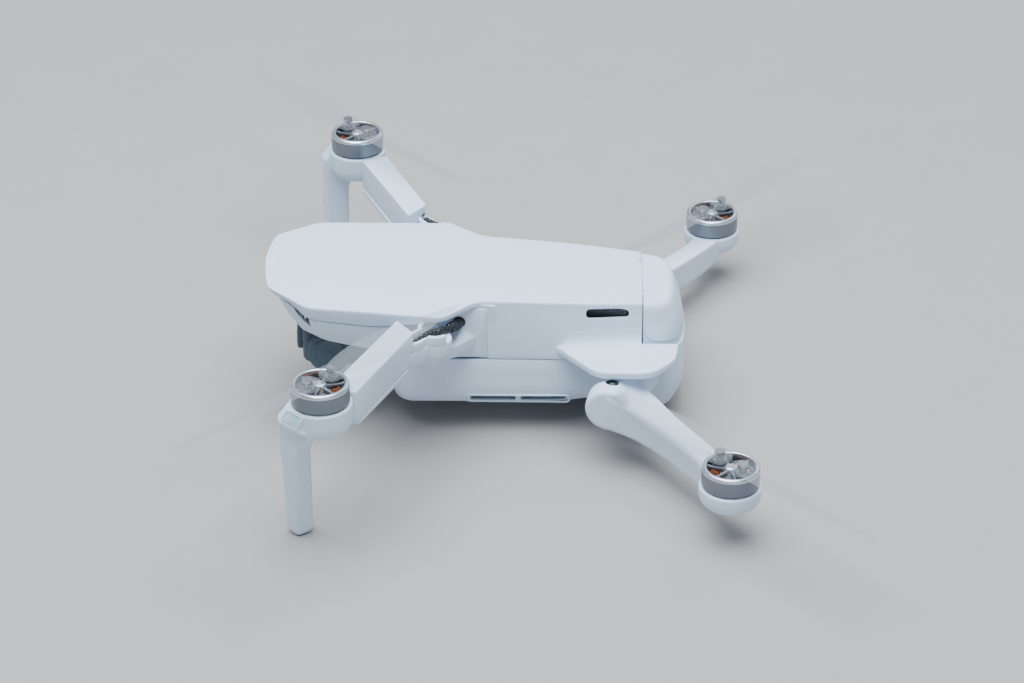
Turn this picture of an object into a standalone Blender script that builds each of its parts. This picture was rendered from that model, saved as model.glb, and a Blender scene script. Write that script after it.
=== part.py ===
"""Folding palm-size camera drone: shells, folding arms, gimbal camera, motors and propellers.

The frame has +Z up, the nose towards -Y and the drone's own left towards +X. The origin is on
the ground, under the middle of the unfolded drone. Dimensions below are in millimetres and
are turned into metres by MM when a shape is made.
"""

import math

import bmesh
import bpy
from mathutils import Matrix, Vector

MM = 0.001

# Wall of the shells
WALL = 1.2

# Motors: place of each axis, top of the mount that carries it, and the turning bell
FRONT_MOTOR = Vector((86.4, -63.0, 48.6))
REAR_MOTOR = Vector((84.6, 63.0, 18.9))
MOUNT_R = 10.3
BELL_R = 9.1
BELL_WALL = 0.9
BELL_H = 6.2
BELL_LIFT = 0.7
STATOR_R = 7.6

# Propellers: two blades on screws beside each motor axis
BLADE_PIVOT = 5.0
BLADE_REACH = 59.5
BLADE_THICKNESS = 1.7
BLADE_ANGLE = 42.5
SCREW_R = 0.9
SCREW_HEAD_R = 1.7

# Front arm hinge: a vertical pin outboard of the shoulder
FRONT_HINGE = Vector((34.0, -30.5, 0.0))
LOBE_R = 5.5
LOBE_BOTTOM = 36.3
LOBE_TOP = 42.0
LUG_BOTTOM = 31.9
LUG_TOP = 35.9

# Rear arm hinge: a skew horizontal pin through the root barrel
REAR_HINGE = Vector((40.0, 27.0, 19.6))
REAR_AXIS_ANGLE = -27.9
REAR_AXIS = Vector(
    (math.cos(math.radians(REAR_AXIS_ANGLE)), math.sin(math.radians(REAR_AXIS_ANGLE)), 0.0)
)
BARREL_R = 6.0
BOSS_R = 5.2
BARREL_INNER = -9.0
BARREL_OUTER = 9.0
PIN_R = 1.9
PIN_CLEARANCE = 0.35

# Body: seam between upper and lower shell, seam of the tail door, underside
SEAM_Z = 27.5
DOOR_Y = 36.3
BELLY_Z = 9.6
TAIL_Z = 5.0

# Gimbal axes
YAW_Y = -56.0
TILT_Y = -66.5
TILT_Z = 23.2
CAMERA_SIZE = Vector((19.2, 18.6, 13.6))

# Battery and its door
BATTERY_MIN = Vector((-16.2, -38.0, 29.9))
BATTERY_MAX = Vector((16.2, 36.0, 43.4))
DOOR_HINGE = Vector((0.0, 51.0, 29.6))

# Status window at the motor end of the front arm, and the pocket it sits in
LED_OUTLINE = [(88.2, -75.9), (91.2, -75.1), (96.0, -69.8), (94.9, -69.3)]
LED_OUTLINE += [(93.0, -71.6), (89.6, -73.7)]
LED_POCKET = [(87.0, -77.2), (91.6, -76.6), (97.8, -69.6), (94.4, -68.7)]
LED_POCKET += [(92.8, -71.2), (88.0, -73.6)]

# Landing leg's sole against the leg just above it, and the cable over the front hinge
SOLE_SCALE = 0.7
CABLE_R = 1.25

SIDES = (("left", 1), ("right", -1))

# Way in which the outer blade of each propeller lies when the drone is at rest
BLADE_LEAN = math.radians(BLADE_ANGLE)
BLADE_DIRECTION = {
    f"{corner_place}_{side}": Vector(
        (sign * math.cos(BLADE_LEAN), outward * math.sin(BLADE_LEAN), 0.0)
    )
    for corner_place, outward in (("front", -1), ("rear", 1))
    for side, sign in SIDES
}

# Stations of the top skin: middle y, crease x, crease y, crease z, middle z, skirt x, y, z
TOP_STATIONS = [
    (-87.5, 18.3, -85.5, 50.4, 51.3, 17.7, -84.3, 48.0),
    (-73.5, 29.5, -72.3, 49.2, 51.5, 28.6, -71.6, 44.4),
    (-51.0, 31.0, -51.0, 48.5, 51.3, 30.2, -50.0, 42.8),
    (-28.0, 32.8, -28.0, 47.6, 50.6, 32.3, -28.2, 45.8),
    (-18.0, 23.3, -18.0, 48.3, 50.1, 23.4, -18.0, 46.6),
    (-13.7, 22.3, -13.7, 48.1, 49.9, 22.5, -13.7, 46.4),
    (9.5, 21.0, 9.5, 46.9, 48.5, 21.2, 9.5, 45.2),
    (24.0, 19.7, 24.0, 45.9, 47.4, 19.9, 24.0, 44.2),
    (DOOR_Y, 17.8, DOOR_Y, 45.1, 46.5, 18.1, DOOR_Y, 43.6),
]
FLANK_STATIONS = [(-13.7, 23.6), (9.5, 23.7), (24.0, 20.9), (DOOR_Y, 20.3)]

COLOURS = {
    "shell_white": ((0.70, 0.76, 0.82), 0.45, 0.0),
    "arm_white": ((0.66, 0.72, 0.79), 0.45, 0.0),
    "cover_white": ((0.60, 0.66, 0.73), 0.5, 0.0),
    "vent_black": ((0.02, 0.02, 0.025), 0.6, 0.0),
    "gimbal_slate": ((0.07, 0.10, 0.13), 0.4, 0.2),
    "lens_glass": ((0.01, 0.01, 0.015), 0.05, 0.0),
    "led_window": ((0.45, 0.58, 0.66), 0.2, 0.0),
    "cable_black": ((0.02, 0.02, 0.02), 0.7, 0.0),
    "pin_steel": ((0.55, 0.56, 0.58), 0.3, 1.0),
    "motor_bell": ((0.22, 0.24, 0.27), 0.35, 0.9),
    "copper_winding": ((0.45, 0.22, 0.12), 0.4, 0.9),
    "blade_smoke": ((0.10, 0.11, 0.12), 0.3, 0.0),
    "board_green": ((0.03, 0.12, 0.07), 0.5, 0.0),
    "heat_sink_alloy": ((0.55, 0.56, 0.57), 0.4, 0.9),
    "battery_grey": ((0.16, 0.17, 0.18), 0.5, 0.0),
    "button_grey": ((0.5, 0.52, 0.54), 0.4, 0.0),
}


# ---------------------------------------------------------------- scene and objects


def clear_scene():
    """Remove what a new file starts with."""
    for obj in list(bpy.data.objects):
        bpy.data.objects.remove(obj, do_unlink=True)


def new_collection(name):
    """A collection of the scene."""
    collection = bpy.data.collections.new(name)
    bpy.context.scene.collection.children.link(collection)
    return collection


def material(name):
    """The material of that name, made on first use."""
    found = bpy.data.materials.get(name)
    if found:
        return found
    colour, roughness, metallic = COLOURS[name]
    made = bpy.data.materials.new(name)
    made.use_nodes = True
    made.diffuse_color = (*colour, 1.0)
    shader = made.node_tree.nodes["Principled BSDF"]
    shader.inputs["Base Color"].default_value = (*colour, 1.0)
    shader.inputs["Roughness"].default_value = roughness
    shader.inputs["Metallic"].default_value = metallic
    return made


def new_object(name, data, collection=None):
    """An object for this mesh or curve, linked and with its matrix up to date."""
    obj = bpy.data.objects.new(name, data)
    (collection or CUTTERS).objects.link(obj)
    if collection is None:
        obj.hide_render = True
        obj.display_type = "WIRE"
    bpy.context.view_layer.update()
    return obj


def from_bmesh(name, bm):
    """A helper object that holds this bmesh, with doubles merged and faces pointing out."""
    bmesh.ops.remove_doubles(bm, verts=bm.verts, dist=0.02 * MM)
    bmesh.ops.dissolve_degenerate(bm, edges=bm.edges, dist=0.01 * MM)
    bmesh.ops.recalc_face_normals(bm, faces=bm.faces)
    mesh = bpy.data.meshes.new(name)
    bm.to_mesh(mesh)
    bm.free()
    return new_object(name, mesh)


def baked(obj):
    """The object with its modifiers applied and its place put into the mesh."""
    graph = bpy.context.evaluated_depsgraph_get()
    mesh = bpy.data.meshes.new_from_object(obj.evaluated_get(graph))
    mesh.transform(obj.matrix_world)
    bm = bmesh.new()
    bm.from_mesh(mesh)
    bmesh.ops.remove_doubles(bm, verts=bm.verts, dist=0.01 * MM)
    bm.to_mesh(mesh)
    bm.free()
    made = new_object(obj.name + "_baked", mesh)
    bpy.data.objects.remove(obj, do_unlink=True)
    return made


def boolean(obj, other, operation="DIFFERENCE"):
    """Cut, join or intersect two helper objects; the second one is used up."""
    modifier = obj.modifiers.new(operation.lower(), "BOOLEAN")
    modifier.operation = operation
    modifier.object = other
    modifier.solver = "EXACT"
    made = baked(obj)
    bpy.data.objects.remove(other, do_unlink=True)
    return made


def join(first, *others):
    """The union of helper objects."""
    for other in others:
        first = boolean(first, other, "UNION")
    return first


def cut(first, *others):
    """The first helper object less the others."""
    for other in others:
        first = boolean(first, other)
    return first


def bevelled(obj, width, segments=2, angle=35.0):
    """Round every edge sharper than the angle."""
    modifier = obj.modifiers.new("bevel", "BEVEL")
    modifier.width = width * MM
    modifier.segments = segments
    modifier.limit_method = "ANGLE"
    modifier.angle_limit = math.radians(angle)
    return baked(obj)


def mirrored(obj):
    """A copy of a helper object on the other side of the middle plane."""
    mesh = obj.data.copy()
    mesh.transform(Matrix.Scale(-1.0, 4, (1.0, 0.0, 0.0)))
    mesh.flip_normals()
    return new_object(obj.name + "_mirrored", mesh)


def finish(obj, name, look, origin=(0.0, 0.0, 0.0), parent=None, smooth=True):
    """Turn a helper object into a named part with its origin at the given point."""
    point = Vector(origin) * MM
    mesh = obj.data.copy()
    bpy.data.objects.remove(obj, do_unlink=True)
    mesh.transform(Matrix.Translation(-point))
    mesh.materials.clear()
    mesh.materials.append(material(look))
    if smooth:
        mesh.shade_smooth()
        mesh.set_sharp_from_angle(angle=math.radians(35.0))
    part = new_object(name, mesh, DRONE)
    part.location = point
    if parent is not None:
        bpy.context.view_layer.update()
        part.parent = parent
        part.matrix_parent_inverse = parent.matrix_world.inverted()
    return part


def pivot(name, point, parent=None):
    """An empty on a joint's axis."""
    empty = bpy.data.objects.new(name, None)
    DRONE.objects.link(empty)
    empty.location = Vector(point) * MM
    empty.empty_display_size = 5 * MM
    bpy.context.view_layer.update()
    if parent is not None:
        empty.parent = parent
        empty.matrix_parent_inverse = parent.matrix_world.inverted()
        bpy.context.view_layer.update()
    return empty


# ---------------------------------------------------------------- basic shapes


def box(low, high, name="box"):
    """A block between two corners."""
    low, high = Vector(low), Vector(high)
    bm = bmesh.new()
    size = Matrix.Diagonal((*((high - low) * MM), 1.0))
    place = Matrix.Translation((low + high) * 0.5 * MM)
    bmesh.ops.create_cube(bm, size=1.0, matrix=place @ size)
    return from_bmesh(name, bm)


def rod(start, end, radius, end_radius=None, sides=24, name="rod"):
    """A straight round bar, or a cone where the radii differ."""
    start, end = Vector(start), Vector(end)
    way = end - start
    turn = Vector((0, 0, 1)).rotation_difference(way).to_matrix().to_4x4()
    bm = bmesh.new()
    bmesh.ops.create_cone(
        bm,
        cap_ends=True,
        segments=sides,
        radius1=radius * MM,
        radius2=(radius if end_radius is None else end_radius) * MM,
        depth=way.length * MM,
        matrix=Matrix.Translation((start + end) * 0.5 * MM) @ turn,
    )
    return from_bmesh(name, bm)


def turned(profile, centre, steps=24, name="turned"):
    """A profile of (radius, height) points, top to bottom down the outside, turned about Z."""
    bm = bmesh.new()
    points = [bm.verts.new((r * MM, 0.0, z * MM)) for r, z in profile]
    for first, second in zip(points, points[1:]):
        bm.edges.new((first, second))
    if profile[0][0] > 0.0:
        bm.edges.new((points[-1], points[0]))
    mesh = bpy.data.meshes.new(name)
    bm.to_mesh(mesh)
    bm.free()
    obj = new_object(name, mesh)
    screw = obj.modifiers.new("turn", "SCREW")
    screw.steps = steps
    screw.render_steps = steps
    screw.use_merge_vertices = True
    screw.merge_threshold = 0.00002
    obj.location = Vector(centre) * MM
    bpy.context.view_layer.update()
    return baked(obj)


def prism(outline, low, high, name="prism"):
    """A flat outline of (x, y) points, as thick as from low to high."""
    curve = bpy.data.curves.new(name, "CURVE")
    curve.dimensions = "2D"
    curve.fill_mode = "BOTH"
    curve.extrude = (high - low) * 0.5 * MM
    spline = curve.splines.new("POLY")
    spline.points.add(len(outline) - 1)
    for point, (x, y) in zip(spline.points, outline):
        point.co = (x * MM, y * MM, 0.0, 1.0)
    spline.use_cyclic_u = True
    obj = new_object(name, curve)
    obj.location = (0.0, 0.0, (low + high) * 0.5 * MM)
    bpy.context.view_layer.update()
    made = baked(obj)
    bm = bmesh.new()
    bm.from_mesh(made.data)
    bmesh.ops.recalc_face_normals(bm, faces=bm.faces)
    bm.to_mesh(made.data)
    bm.free()
    return made


def add_grid(bm, rows):
    """Quads between rows of points, in millimetres."""
    lines = [[bm.verts.new(Vector(point) * MM) for point in row] for row in rows]
    for line, following in zip(lines, lines[1:]):
        for k in range(len(line) - 1):
            bm.faces.new((line[k], line[k + 1], following[k + 1], following[k]))


def loft(sections, name="loft"):
    """A closed solid through rings of points, each ring with as many points."""
    bm = bmesh.new()
    rings = [[bm.verts.new(Vector(point) * MM) for point in ring] for ring in sections]
    for ring, following in zip(rings, rings[1:]):
        for k in range(len(ring)):
            near = (k + 1) % len(ring)
            bm.faces.new((ring[k], ring[near], following[near], following[k]))
    bm.faces.new(rings[0])
    bm.faces.new(list(reversed(rings[-1])))
    return from_bmesh(name, bm)


def skin(grids, up_at, name="skin", thickness=WALL):
    """Half of an open surface made of grids, mirrored and thickened inwards.

    up_at is a test for one face that must point up or out: it takes the face's centre and
    returns the direction that its normal should have.
    """
    bm = bmesh.new()
    for rows in grids:
        add_grid(bm, rows)
    bmesh.ops.remove_doubles(bm, verts=bm.verts, dist=0.02 * MM)
    bmesh.ops.dissolve_degenerate(bm, edges=bm.edges, dist=0.01 * MM)
    bmesh.ops.recalc_face_normals(bm, faces=bm.faces)
    total = sum(face.normal.dot(up_at(face.calc_center_median())) for face in bm.faces)
    if total < 0.0:
        bmesh.ops.reverse_faces(bm, faces=bm.faces)
    mesh = bpy.data.meshes.new(name)
    bm.to_mesh(mesh)
    bm.free()
    obj = new_object(name, mesh)
    mirror = obj.modifiers.new("mirror", "MIRROR")
    mirror.use_axis = (True, False, False)
    mirror.merge_threshold = 0.00002
    mirror.use_clip = True
    solid = obj.modifiers.new("wall", "SOLIDIFY")
    solid.thickness = thickness * MM
    solid.offset = -1.0
    solid.use_even_offset = True
    return baked(obj)


def outwards(centre):
    """A test direction for skin: away from a point inside the shape, in millimetres."""
    inside = Vector(centre) * MM
    return lambda point: (point - inside).normalized()


# ---------------------------------------------------------------- body shells


def top_row(station, columns=4):
    """One row across the top skin, from the middle line to the crease, with a slight crown."""
    middle_y, x, y, z, middle_z = station[:5]
    row = []
    for k in range(columns + 1):
        t = k / columns
        row.append((x * t, middle_y + (y - middle_y) * t * t, middle_z + (z - middle_z) * t * t))
    return row


def make_upper_shell():
    """Top skin with its skirt, rear flanks down to the seam, and the shoulder ledges."""
    rows = [top_row(station) for station in TOP_STATIONS]
    front = rows[0]
    skirt_front = [(x * 0.967, y + 1.2, z - 2.4) for x, y, z in front]
    skirt_side = [station[5:] for station in TOP_STATIONS]
    path_top = front + [row[-1] for row in rows[1:]]
    path_low = skirt_front[:-1] + skirt_side
    low_side = [station[5:] for station in TOP_STATIONS[5:]]
    flank_top = []
    for y, x in FLANK_STATIONS:
        near = min(low_side, key=lambda point: abs(point[1] - y))
        flank_top.append(near)
    seam = [(x, y, SEAM_Z) for y, x in FLANK_STATIONS]
    middle = [((a[0] + b[0]) / 2 + 0.1, b[1], 36.5) for a, b in zip(flank_top, seam)]
    shell = skin(
        [rows, [path_top, path_low], [flank_top, middle, seam]], outwards((0, -15, 30)), "upper"
    )
    ledge = [(22.8, 7.5), (24.6, 9.7), (40.0, 22.0), (40.0, 39.0), (31.0, 47.0), (20.6, 48.2)]
    ledge += [(20.6, DOOR_Y + 0.4), (19.7, DOOR_Y - 0.6), (20.2, 24.0)]
    left = bevelled(prism(ledge, 29.7, 32.2), 0.5, 1, 60.0)
    right = mirrored(left)
    shell = join(shell, left, right)
    for side in (-1, 1):
        slot = bevelled(box((side * 20 - 4, 18.3, 40.8), (side * 20 + 4, 31.9, 44.2)), 1.5, 3)
        shell = cut(shell, slot)
    return finish(shell, "upper_shell", "shell_white", (0, 0, SEAM_Z))


def make_nose_shell():
    """Lower half of the nose, open below for the gimbal, with a slit at each front corner."""
    top = [(0, -84.9, 48.3), (9, -84.4, 48.0), (16.9, -82.8, 47.4), (27.4, -71.0, 44.0)]
    top += [(28.9, -50.5, 42.4), (28.6, -41.2, 42.2)]
    low = [(0, -76.5, 35), (9, -76.2, 35), (18, -75.3, 35), (23.6, -66.5, 33.8)]
    low += [(25.6, -53, 32), (24.8, -42, 31.3)]
    middle = [tuple((Vector(a) + Vector(b)) / 2) for a, b in zip(top, low)]
    shell = skin([[top, middle, low]], outwards((0, -60, 40)), "nose")
    for side in (-1, 1):
        slit = rod(
            (side * 25.2, -76.4, 43.6), (side * 20.6, -71.4, 42.6), 2.5, sides=16, name="slit"
        )
        narrow = Matrix.Translation(Vector((side * 22.9, -73.9, 43.1)) * MM)
        squash = narrow @ Matrix.Diagonal((0.62, 0.62, 1.25, 1.0)) @ narrow.inverted()
        slit.data.transform(squash)
        shell = cut(shell, slit)
    return finish(shell, "nose_shell", "shell_white", (0, -60, 40))


def make_belly_shell():
    """Lower hull with side vent slots, tail, rear feet and the bosses of the rear hinges."""
    plan = [(0, -42.4), (19, -42.4), (23.5, -38), (23.6, 9), (20.4, 20), (20.3, 36.7), (20.3, 37.5)]
    plan += [(20.3, 45), (14.5, 50.0), (0, 50.9)]
    top_z = [27.1] * 6 + [29.3] * 4
    top = [(x, y, z) for (x, y), z in zip(plan, top_z)]
    side = [(x * 1.02, y + (-1.0 if k < 2 else 0.2), 14.0) for k, (x, y) in enumerate(plan)]
    foot = [(0, -42.0), (17.5, -42.0), (21.6, -37), (21.7, 9), (18.8, 20), (18.0, 25), (18.0, 34)]
    foot += [(18.0, 42), (12.5, 46.6), (0, 47.6)]
    foot_z = [BELLY_Z] * 5 + [TAIL_Z] * 5
    low = [(x, y, z) for (x, y), z in zip(foot, foot_z)]
    half = [(x * 0.5, y, z) for x, y, z in low]
    middle = [(0, y, z) for x, y, z in low]
    shell = skin([[top, side, low, half, middle]], outwards((0, 0, 22)), "belly")
    for side_sign in (-1, 1):
        for start, end in ((-19.8, -4.7), (-3.3, 11.7)):
            near, far = sorted((side_sign * 19.5, side_sign * 26.0))
            slot = box((near, start, 11.2), (far, end, 13.3), "slot")
            shell = cut(shell, slot)
        foot_pad = rod((side_sign * 12.5, 33, 0.0), (side_sign * 12.5, 33, 5.6), 3.2, 4.0, 16)
        shell = join(shell, foot_pad)
    for sign in (1, -1):
        flip = Vector((sign, 1, 1))
        inner = (REAR_HINGE + REAR_AXIS * -23.5) * flip
        outer = (REAR_HINGE + REAR_AXIS * (BARREL_INNER - 0.4)) * flip
        boss = rod(inner, outer, BOSS_R, sides=20, name="boss")
        hole_end = (REAR_HINGE + REAR_AXIS * -19.0) * flip
        beyond = (REAR_HINGE + REAR_AXIS * (BARREL_INNER + 4)) * flip
        hole = rod(hole_end, beyond, PIN_R + PIN_CLEARANCE, sides=16, name="hole")
        shell = cut(join(shell, boss), hole)
    window = box((-10.3, -36.3, 5), (10.3, -26.2, 14))
    button = rod((0, 17.5, 5), (0, 17.5, 14), 3.9, sides=20)
    socket = box((-4.8, 44, 17.9), (4.8, 55, 22.1))
    shell = cut(shell, window, button, socket)
    return finish(shell, "belly_shell", "shell_white", (0, 0, BELLY_Z))


def make_hinge_panel(side, sign):
    """Flank panel ahead of the upper shell, with the lug under the front arm's hinge."""
    wall = box((22.3, -40.4, 27.9), (23.5, -14.15, 45.4), "panel")
    lug = [(22.8, -39.0), (30.0, -39.0), (36.0, -36.4), (39.4, -31.5), (38.6, -27.0)]
    lug += [(34.0, -24.6), (28.0, -21.0), (22.8, -17.0)]
    foot = prism(lug, LUG_BOTTOM, LUG_TOP, "lug")
    pin = FRONT_HINGE
    bore = rod((pin.x, pin.y, LUG_BOTTOM + 1), (pin.x, pin.y, 50), PIN_R + PIN_CLEARANCE, sides=16)
    cable = rod((20, -22.5, 43.8), (26, -22.5, 43.8), 1.7, sides=12)
    panel = cut(join(wall, foot), bore, cable)
    panel = bevelled(panel, 0.4, 1, 60.0)
    if sign < 0:
        other = mirrored(panel)
        bpy.data.objects.remove(panel, do_unlink=True)
        panel = other
    return finish(panel, f"hinge_panel_{side}", "cover_white", (sign * 23, -27, 36))


def make_battery_door(parent):
    """Tail cap that hinges on its lower rear edge."""
    gap = 0.4
    seam = DOOR_Y + gap
    low = [(19.9, seam, 30.0), (19.9, 45.0, 30.0), (15.6, 49.2, 30.0), (7.5, 50.5, 30.0)]
    low += [(0, 50.8, 30.0)]
    middle = [(18.9, seam, 38.0), (18.4, 43.6, 38.0), (14.6, 47.8, 38.0), (7, 48.9, 38.0)]
    middle += [(0, 49.1, 38.0)]
    high = [(17.8, seam, 45.0), (17.0, 42.2, 44.4), (13.2, 45.2, 44.4), (6.6, 46.2, 45.0)]
    high += [(0, 46.4, 45.3)]
    edge = [(17.8, seam, 45.0), (13.4, seam, 45.8), (9.0, seam, 46.2), (4.5, seam, 46.4)]
    edge += [(0, seam, 46.5)]
    door = skin([[low, middle, high, edge]], outwards((0, 40, 36)), "door")
    return finish(door, "battery_door", "shell_white", DOOR_HINGE, parent)


# ---------------------------------------------------------------- inside the body


def make_inner_parts(battery_pivot, button_pivot):
    """Board, heat sink, battery, vents, sensor window, socket and button."""
    board = bevelled(box((-18, -36, 24.2), (18, 30, 25.6)), 0.4, 1)
    finish(board, "main_board", "board_green", (0, -3, 24.9), smooth=False)
    sink = box((-21.0, -20.8, 11.9), (21.0, 11.2, 13.2))
    fins = [box((x - 0.5, -20.8, 13.0), (x + 0.5, 11.2, 19.5)) for x in range(-18, 19, 6)]
    finish(join(sink, *fins), "heat_sink", "heat_sink_alloy", (0, -4, 13), smooth=False)
    window = bevelled(box((-9.95, -35.9, 9.7), (9.95, -26.6, 11.0)), 0.3, 1)
    finish(window, "sensor_window", "lens_glass", (0, -31, 10))
    shell = box((-4.4, 41.5, 18.3), (4.4, 50.3, 21.7))
    throat = bevelled(box((-3.7, 45, 18.9), (3.7, 53, 21.1)), 0.7, 1)
    finish(cut(shell, throat), "usb_socket", "pin_steel", (0, 46, 20))
    battery = bevelled(box(BATTERY_MIN, BATTERY_MAX), 1.6, 2)
    finish(battery, "battery", "battery_grey", (0, -1, 36.6), battery_pivot)
    flange = rod((0, 17.5, 11.3), (0, 17.5, 12.3), 4.4, sides=20)
    cap = rod((0, 17.5, 9.0), (0, 17.5, 11.6), 3.45, sides=20)
    finish(join(cap, flange), "power_button", "button_grey", (0, 17.5, 9.0), button_pivot)
    for side, sign in SIDES:
        near, far = sorted((sign * 16.7, sign * 17.7))
        vent = bevelled(box((near, 17.9, 39.8), (far, 31.6, 43.5)), 0.35, 1)
        finish(vent, f"side_vent_{side}", "vent_black", (sign * 18, 25, 42))
    grille = [(0, -76.4), (16.0, -76.4), (23.0, -69.4), (22.0, -68.6), (15.5, -75.2)]
    bar = grille + [(-x, y) for x, y in reversed(grille[1:])]
    finish(prism(bar, 40.4, 46.0), "intake_grille", "vent_black", (0, -72, 43))


# ---------------------------------------------------------------- gimbal


def make_gimbal(yaw, roll, tilt):
    """Damper plate, yaw arm, roll arm, camera body and lens."""
    plate = bevelled(box((-15, -65, 42.6), (15, -46, 43.8)), 0.4, 1)
    finish(plate, "gimbal_damper_plate", "gimbal_slate", (0, YAW_Y, 43))

    disc = rod((0, YAW_Y, 39.2), (0, YAW_Y, 42.2), 7.4)
    top = box((-5.5, YAW_Y, 39.2), (5.5, -46.9, 41.4))
    post = box((-5.5, -49.9, TILT_Z), (5.5, -46.9, 41.4))
    housing = rod((0, -49.9, TILT_Z), (0, -46.6, TILT_Z), 6.9)
    finish(join(top, post, disc, housing), "gimbal_yaw_arm", "gimbal_slate", (0, YAW_Y, 40), yaw)

    side_disc = rod((10.1, TILT_Y, TILT_Z), (14.2, TILT_Y, TILT_Z), 7.2)
    side_bar = box((10.1, TILT_Y, 19.2), (14.2, -50.4, 27.2))
    back_bar = box((-6.5, -53.0, 18.2), (14.2, -50.4, 28.2))
    roll_disc = rod((0, -53.0, TILT_Z), (0, -50.3, TILT_Z), 6.8)
    arm = bevelled(join(side_bar, back_bar, side_disc, roll_disc), 0.5, 1, 60.0)
    finish(arm, "gimbal_roll_arm", "gimbal_slate", (0, -51.6, TILT_Z), roll)

    centre = Vector((0, TILT_Y, TILT_Z))
    camera = bevelled(box(centre - CAMERA_SIZE / 2, centre + CAMERA_SIZE / 2), 2.2, 2)
    finish(camera, "camera_body", "gimbal_slate", centre, tilt)
    front = TILT_Y - CAMERA_SIZE.y / 2 - 0.35
    barrel = rod((-0.5, front, TILT_Z), (-0.5, front - 1.3, TILT_Z), 5.6, 5.2)
    finish(barrel, "camera_lens", "lens_glass", (-0.5, front, TILT_Z), tilt)


# ---------------------------------------------------------------- motors and propellers


def make_motor(corner, seat, parent, spin):
    """Fixed stator and the bell that turns about it."""
    bore = 1.6
    stator = turned(
        [(bore, 4.6), (3.2, 4.6), (STATOR_R, 4.2), (STATOR_R, 0.9), (5.0, 0.4), (bore, 0.4)],
        seat,
        steps=20,
    )
    finish(stator, f"motor_stator_{corner}", "copper_winding", seat, parent)
    low = BELL_LIFT
    top = low + BELL_H
    inner = BELL_R - BELL_WALL
    bell = turned(
        [
            (0.0, top - 0.2),
            (2.6, top - 0.2),
            (inner - 0.6, top - 0.2),
            (inner, top),
            (BELL_R - 0.4, top),
            (BELL_R, top - 0.5),
            (BELL_R, low),
            (inner, low),
            (inner, top - 1.3),
            (2.4, top - 1.3),
            (1.1, top - 1.9),
            (1.1, low + 0.6),
            (0.0, low + 0.6),
        ],
        seat,
    )
    along = BLADE_DIRECTION[corner]
    across = Vector((-along.y, along.x, 0))
    for way in (-1, 1):
        for lean in (-1, 1):
            middle = seat + across * (way * 5.0) + along * (lean * 2.9)
            window = rod(middle + Vector((0, 0, 4.5)), middle + Vector((0, 0, 9)), 2.1, sides=10)
            bell = cut(bell, window)
        hole = seat + along * (way * BLADE_PIVOT)
        bell = cut(bell, rod(hole + Vector((0, 0, 4)), hole + Vector((0, 0, 9)), 1.25, sides=10))
    finish(bell, f"motor_bell_{corner}", "motor_bell", seat, spin)


def make_blade(corner, end, centre, way, hand, swing):
    """One propeller blade and its screw; way is the direction from the motor axis."""
    root = centre + way * BLADE_PIVOT
    across = Vector((-way.y, way.x, 0)) * hand
    span = BLADE_REACH - BLADE_PIVOT
    low = root.z + 0.35
    mid = low + BLADE_THICKNESS / 2
    rings = []
    for t in (0.0, 0.1, 0.22, 0.38, 0.6, 0.82, 0.95, 1.0):
        chord = 5.2 + 6.0 * math.sin(math.pi * min(1.0, t * 1.15) ** 0.75) - 1.6 * t
        if t > 0.9:
            chord *= 0.82 if t < 1.0 else 0.42
        pitch = math.radians(4.0 + 15.0 * math.sin(math.pi * min(1.0, 0.12 + t * 0.9)))
        thick = 1.5 - 0.9 * t
        lead = across * math.cos(pitch) + Vector((0, 0, math.sin(pitch)))
        lift = Vector((0, 0, 1.0))
        spot = Vector((root.x, root.y, mid)) + way * (span * t) + Vector((0, 0, 0.9 * t))
        spot += across * (0.08 * chord)
        front = spot + lead * (chord / 2)
        rear = spot - lead * (chord / 2)
        peak = spot + lead * (chord * 0.16) + lift * (thick / 2)
        dip = spot + lead * (chord * 0.16) - lift * (thick / 2)
        rings.append([front, peak, rear, dip])
    web = loft(rings, "web")
    hub = rod((root.x, root.y, low), (root.x, root.y, low + BLADE_THICKNESS), 4.2, sides=20)
    blade = join(hub, web)
    bore = rod((root.x, root.y, low - 3), (root.x, root.y, low + 5), SCREW_R + 0.4, sides=12)
    blade = cut(blade, bore)
    finish(blade, f"blade_{corner}_{end}", "blade_smoke", root, swing)
    head_low = low + BLADE_THICKNESS + 0.32
    shank = rod((root.x, root.y, root.z - 0.9), (root.x, root.y, head_low + 0.5), SCREW_R, sides=10)
    head = rod((root.x, root.y, head_low), (root.x, root.y, head_low + 0.9), SCREW_HEAD_R, sides=12)
    return join(head, shank)


def make_propulsion(side, sign, place, seat, arm):
    """Motor, two blades and their screws at one corner of the drone."""
    corner = f"{place}_{side}"
    seat = Vector((seat.x * sign, seat.y, seat.z))
    spin = pivot(f"spin_{corner}", seat, arm)
    make_motor(corner, seat, arm, spin)
    top = seat + Vector((0, 0, BELL_LIFT + BELL_H))
    hand = sign * (1 if place == "front" else -1)
    along = BLADE_DIRECTION[corner]
    for end, way in (("outer", along), ("inner", -along)):
        swing = pivot(f"swing_{corner}_{end}", top + way * BLADE_PIVOT, spin)
        screw = make_blade(corner, end, top, way, hand, swing)
        name = f"blade_screw_{corner}_{end}"
        finish(screw, name, "pin_steel", top + way * BLADE_PIVOT, spin)


# ---------------------------------------------------------------- arms


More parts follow.
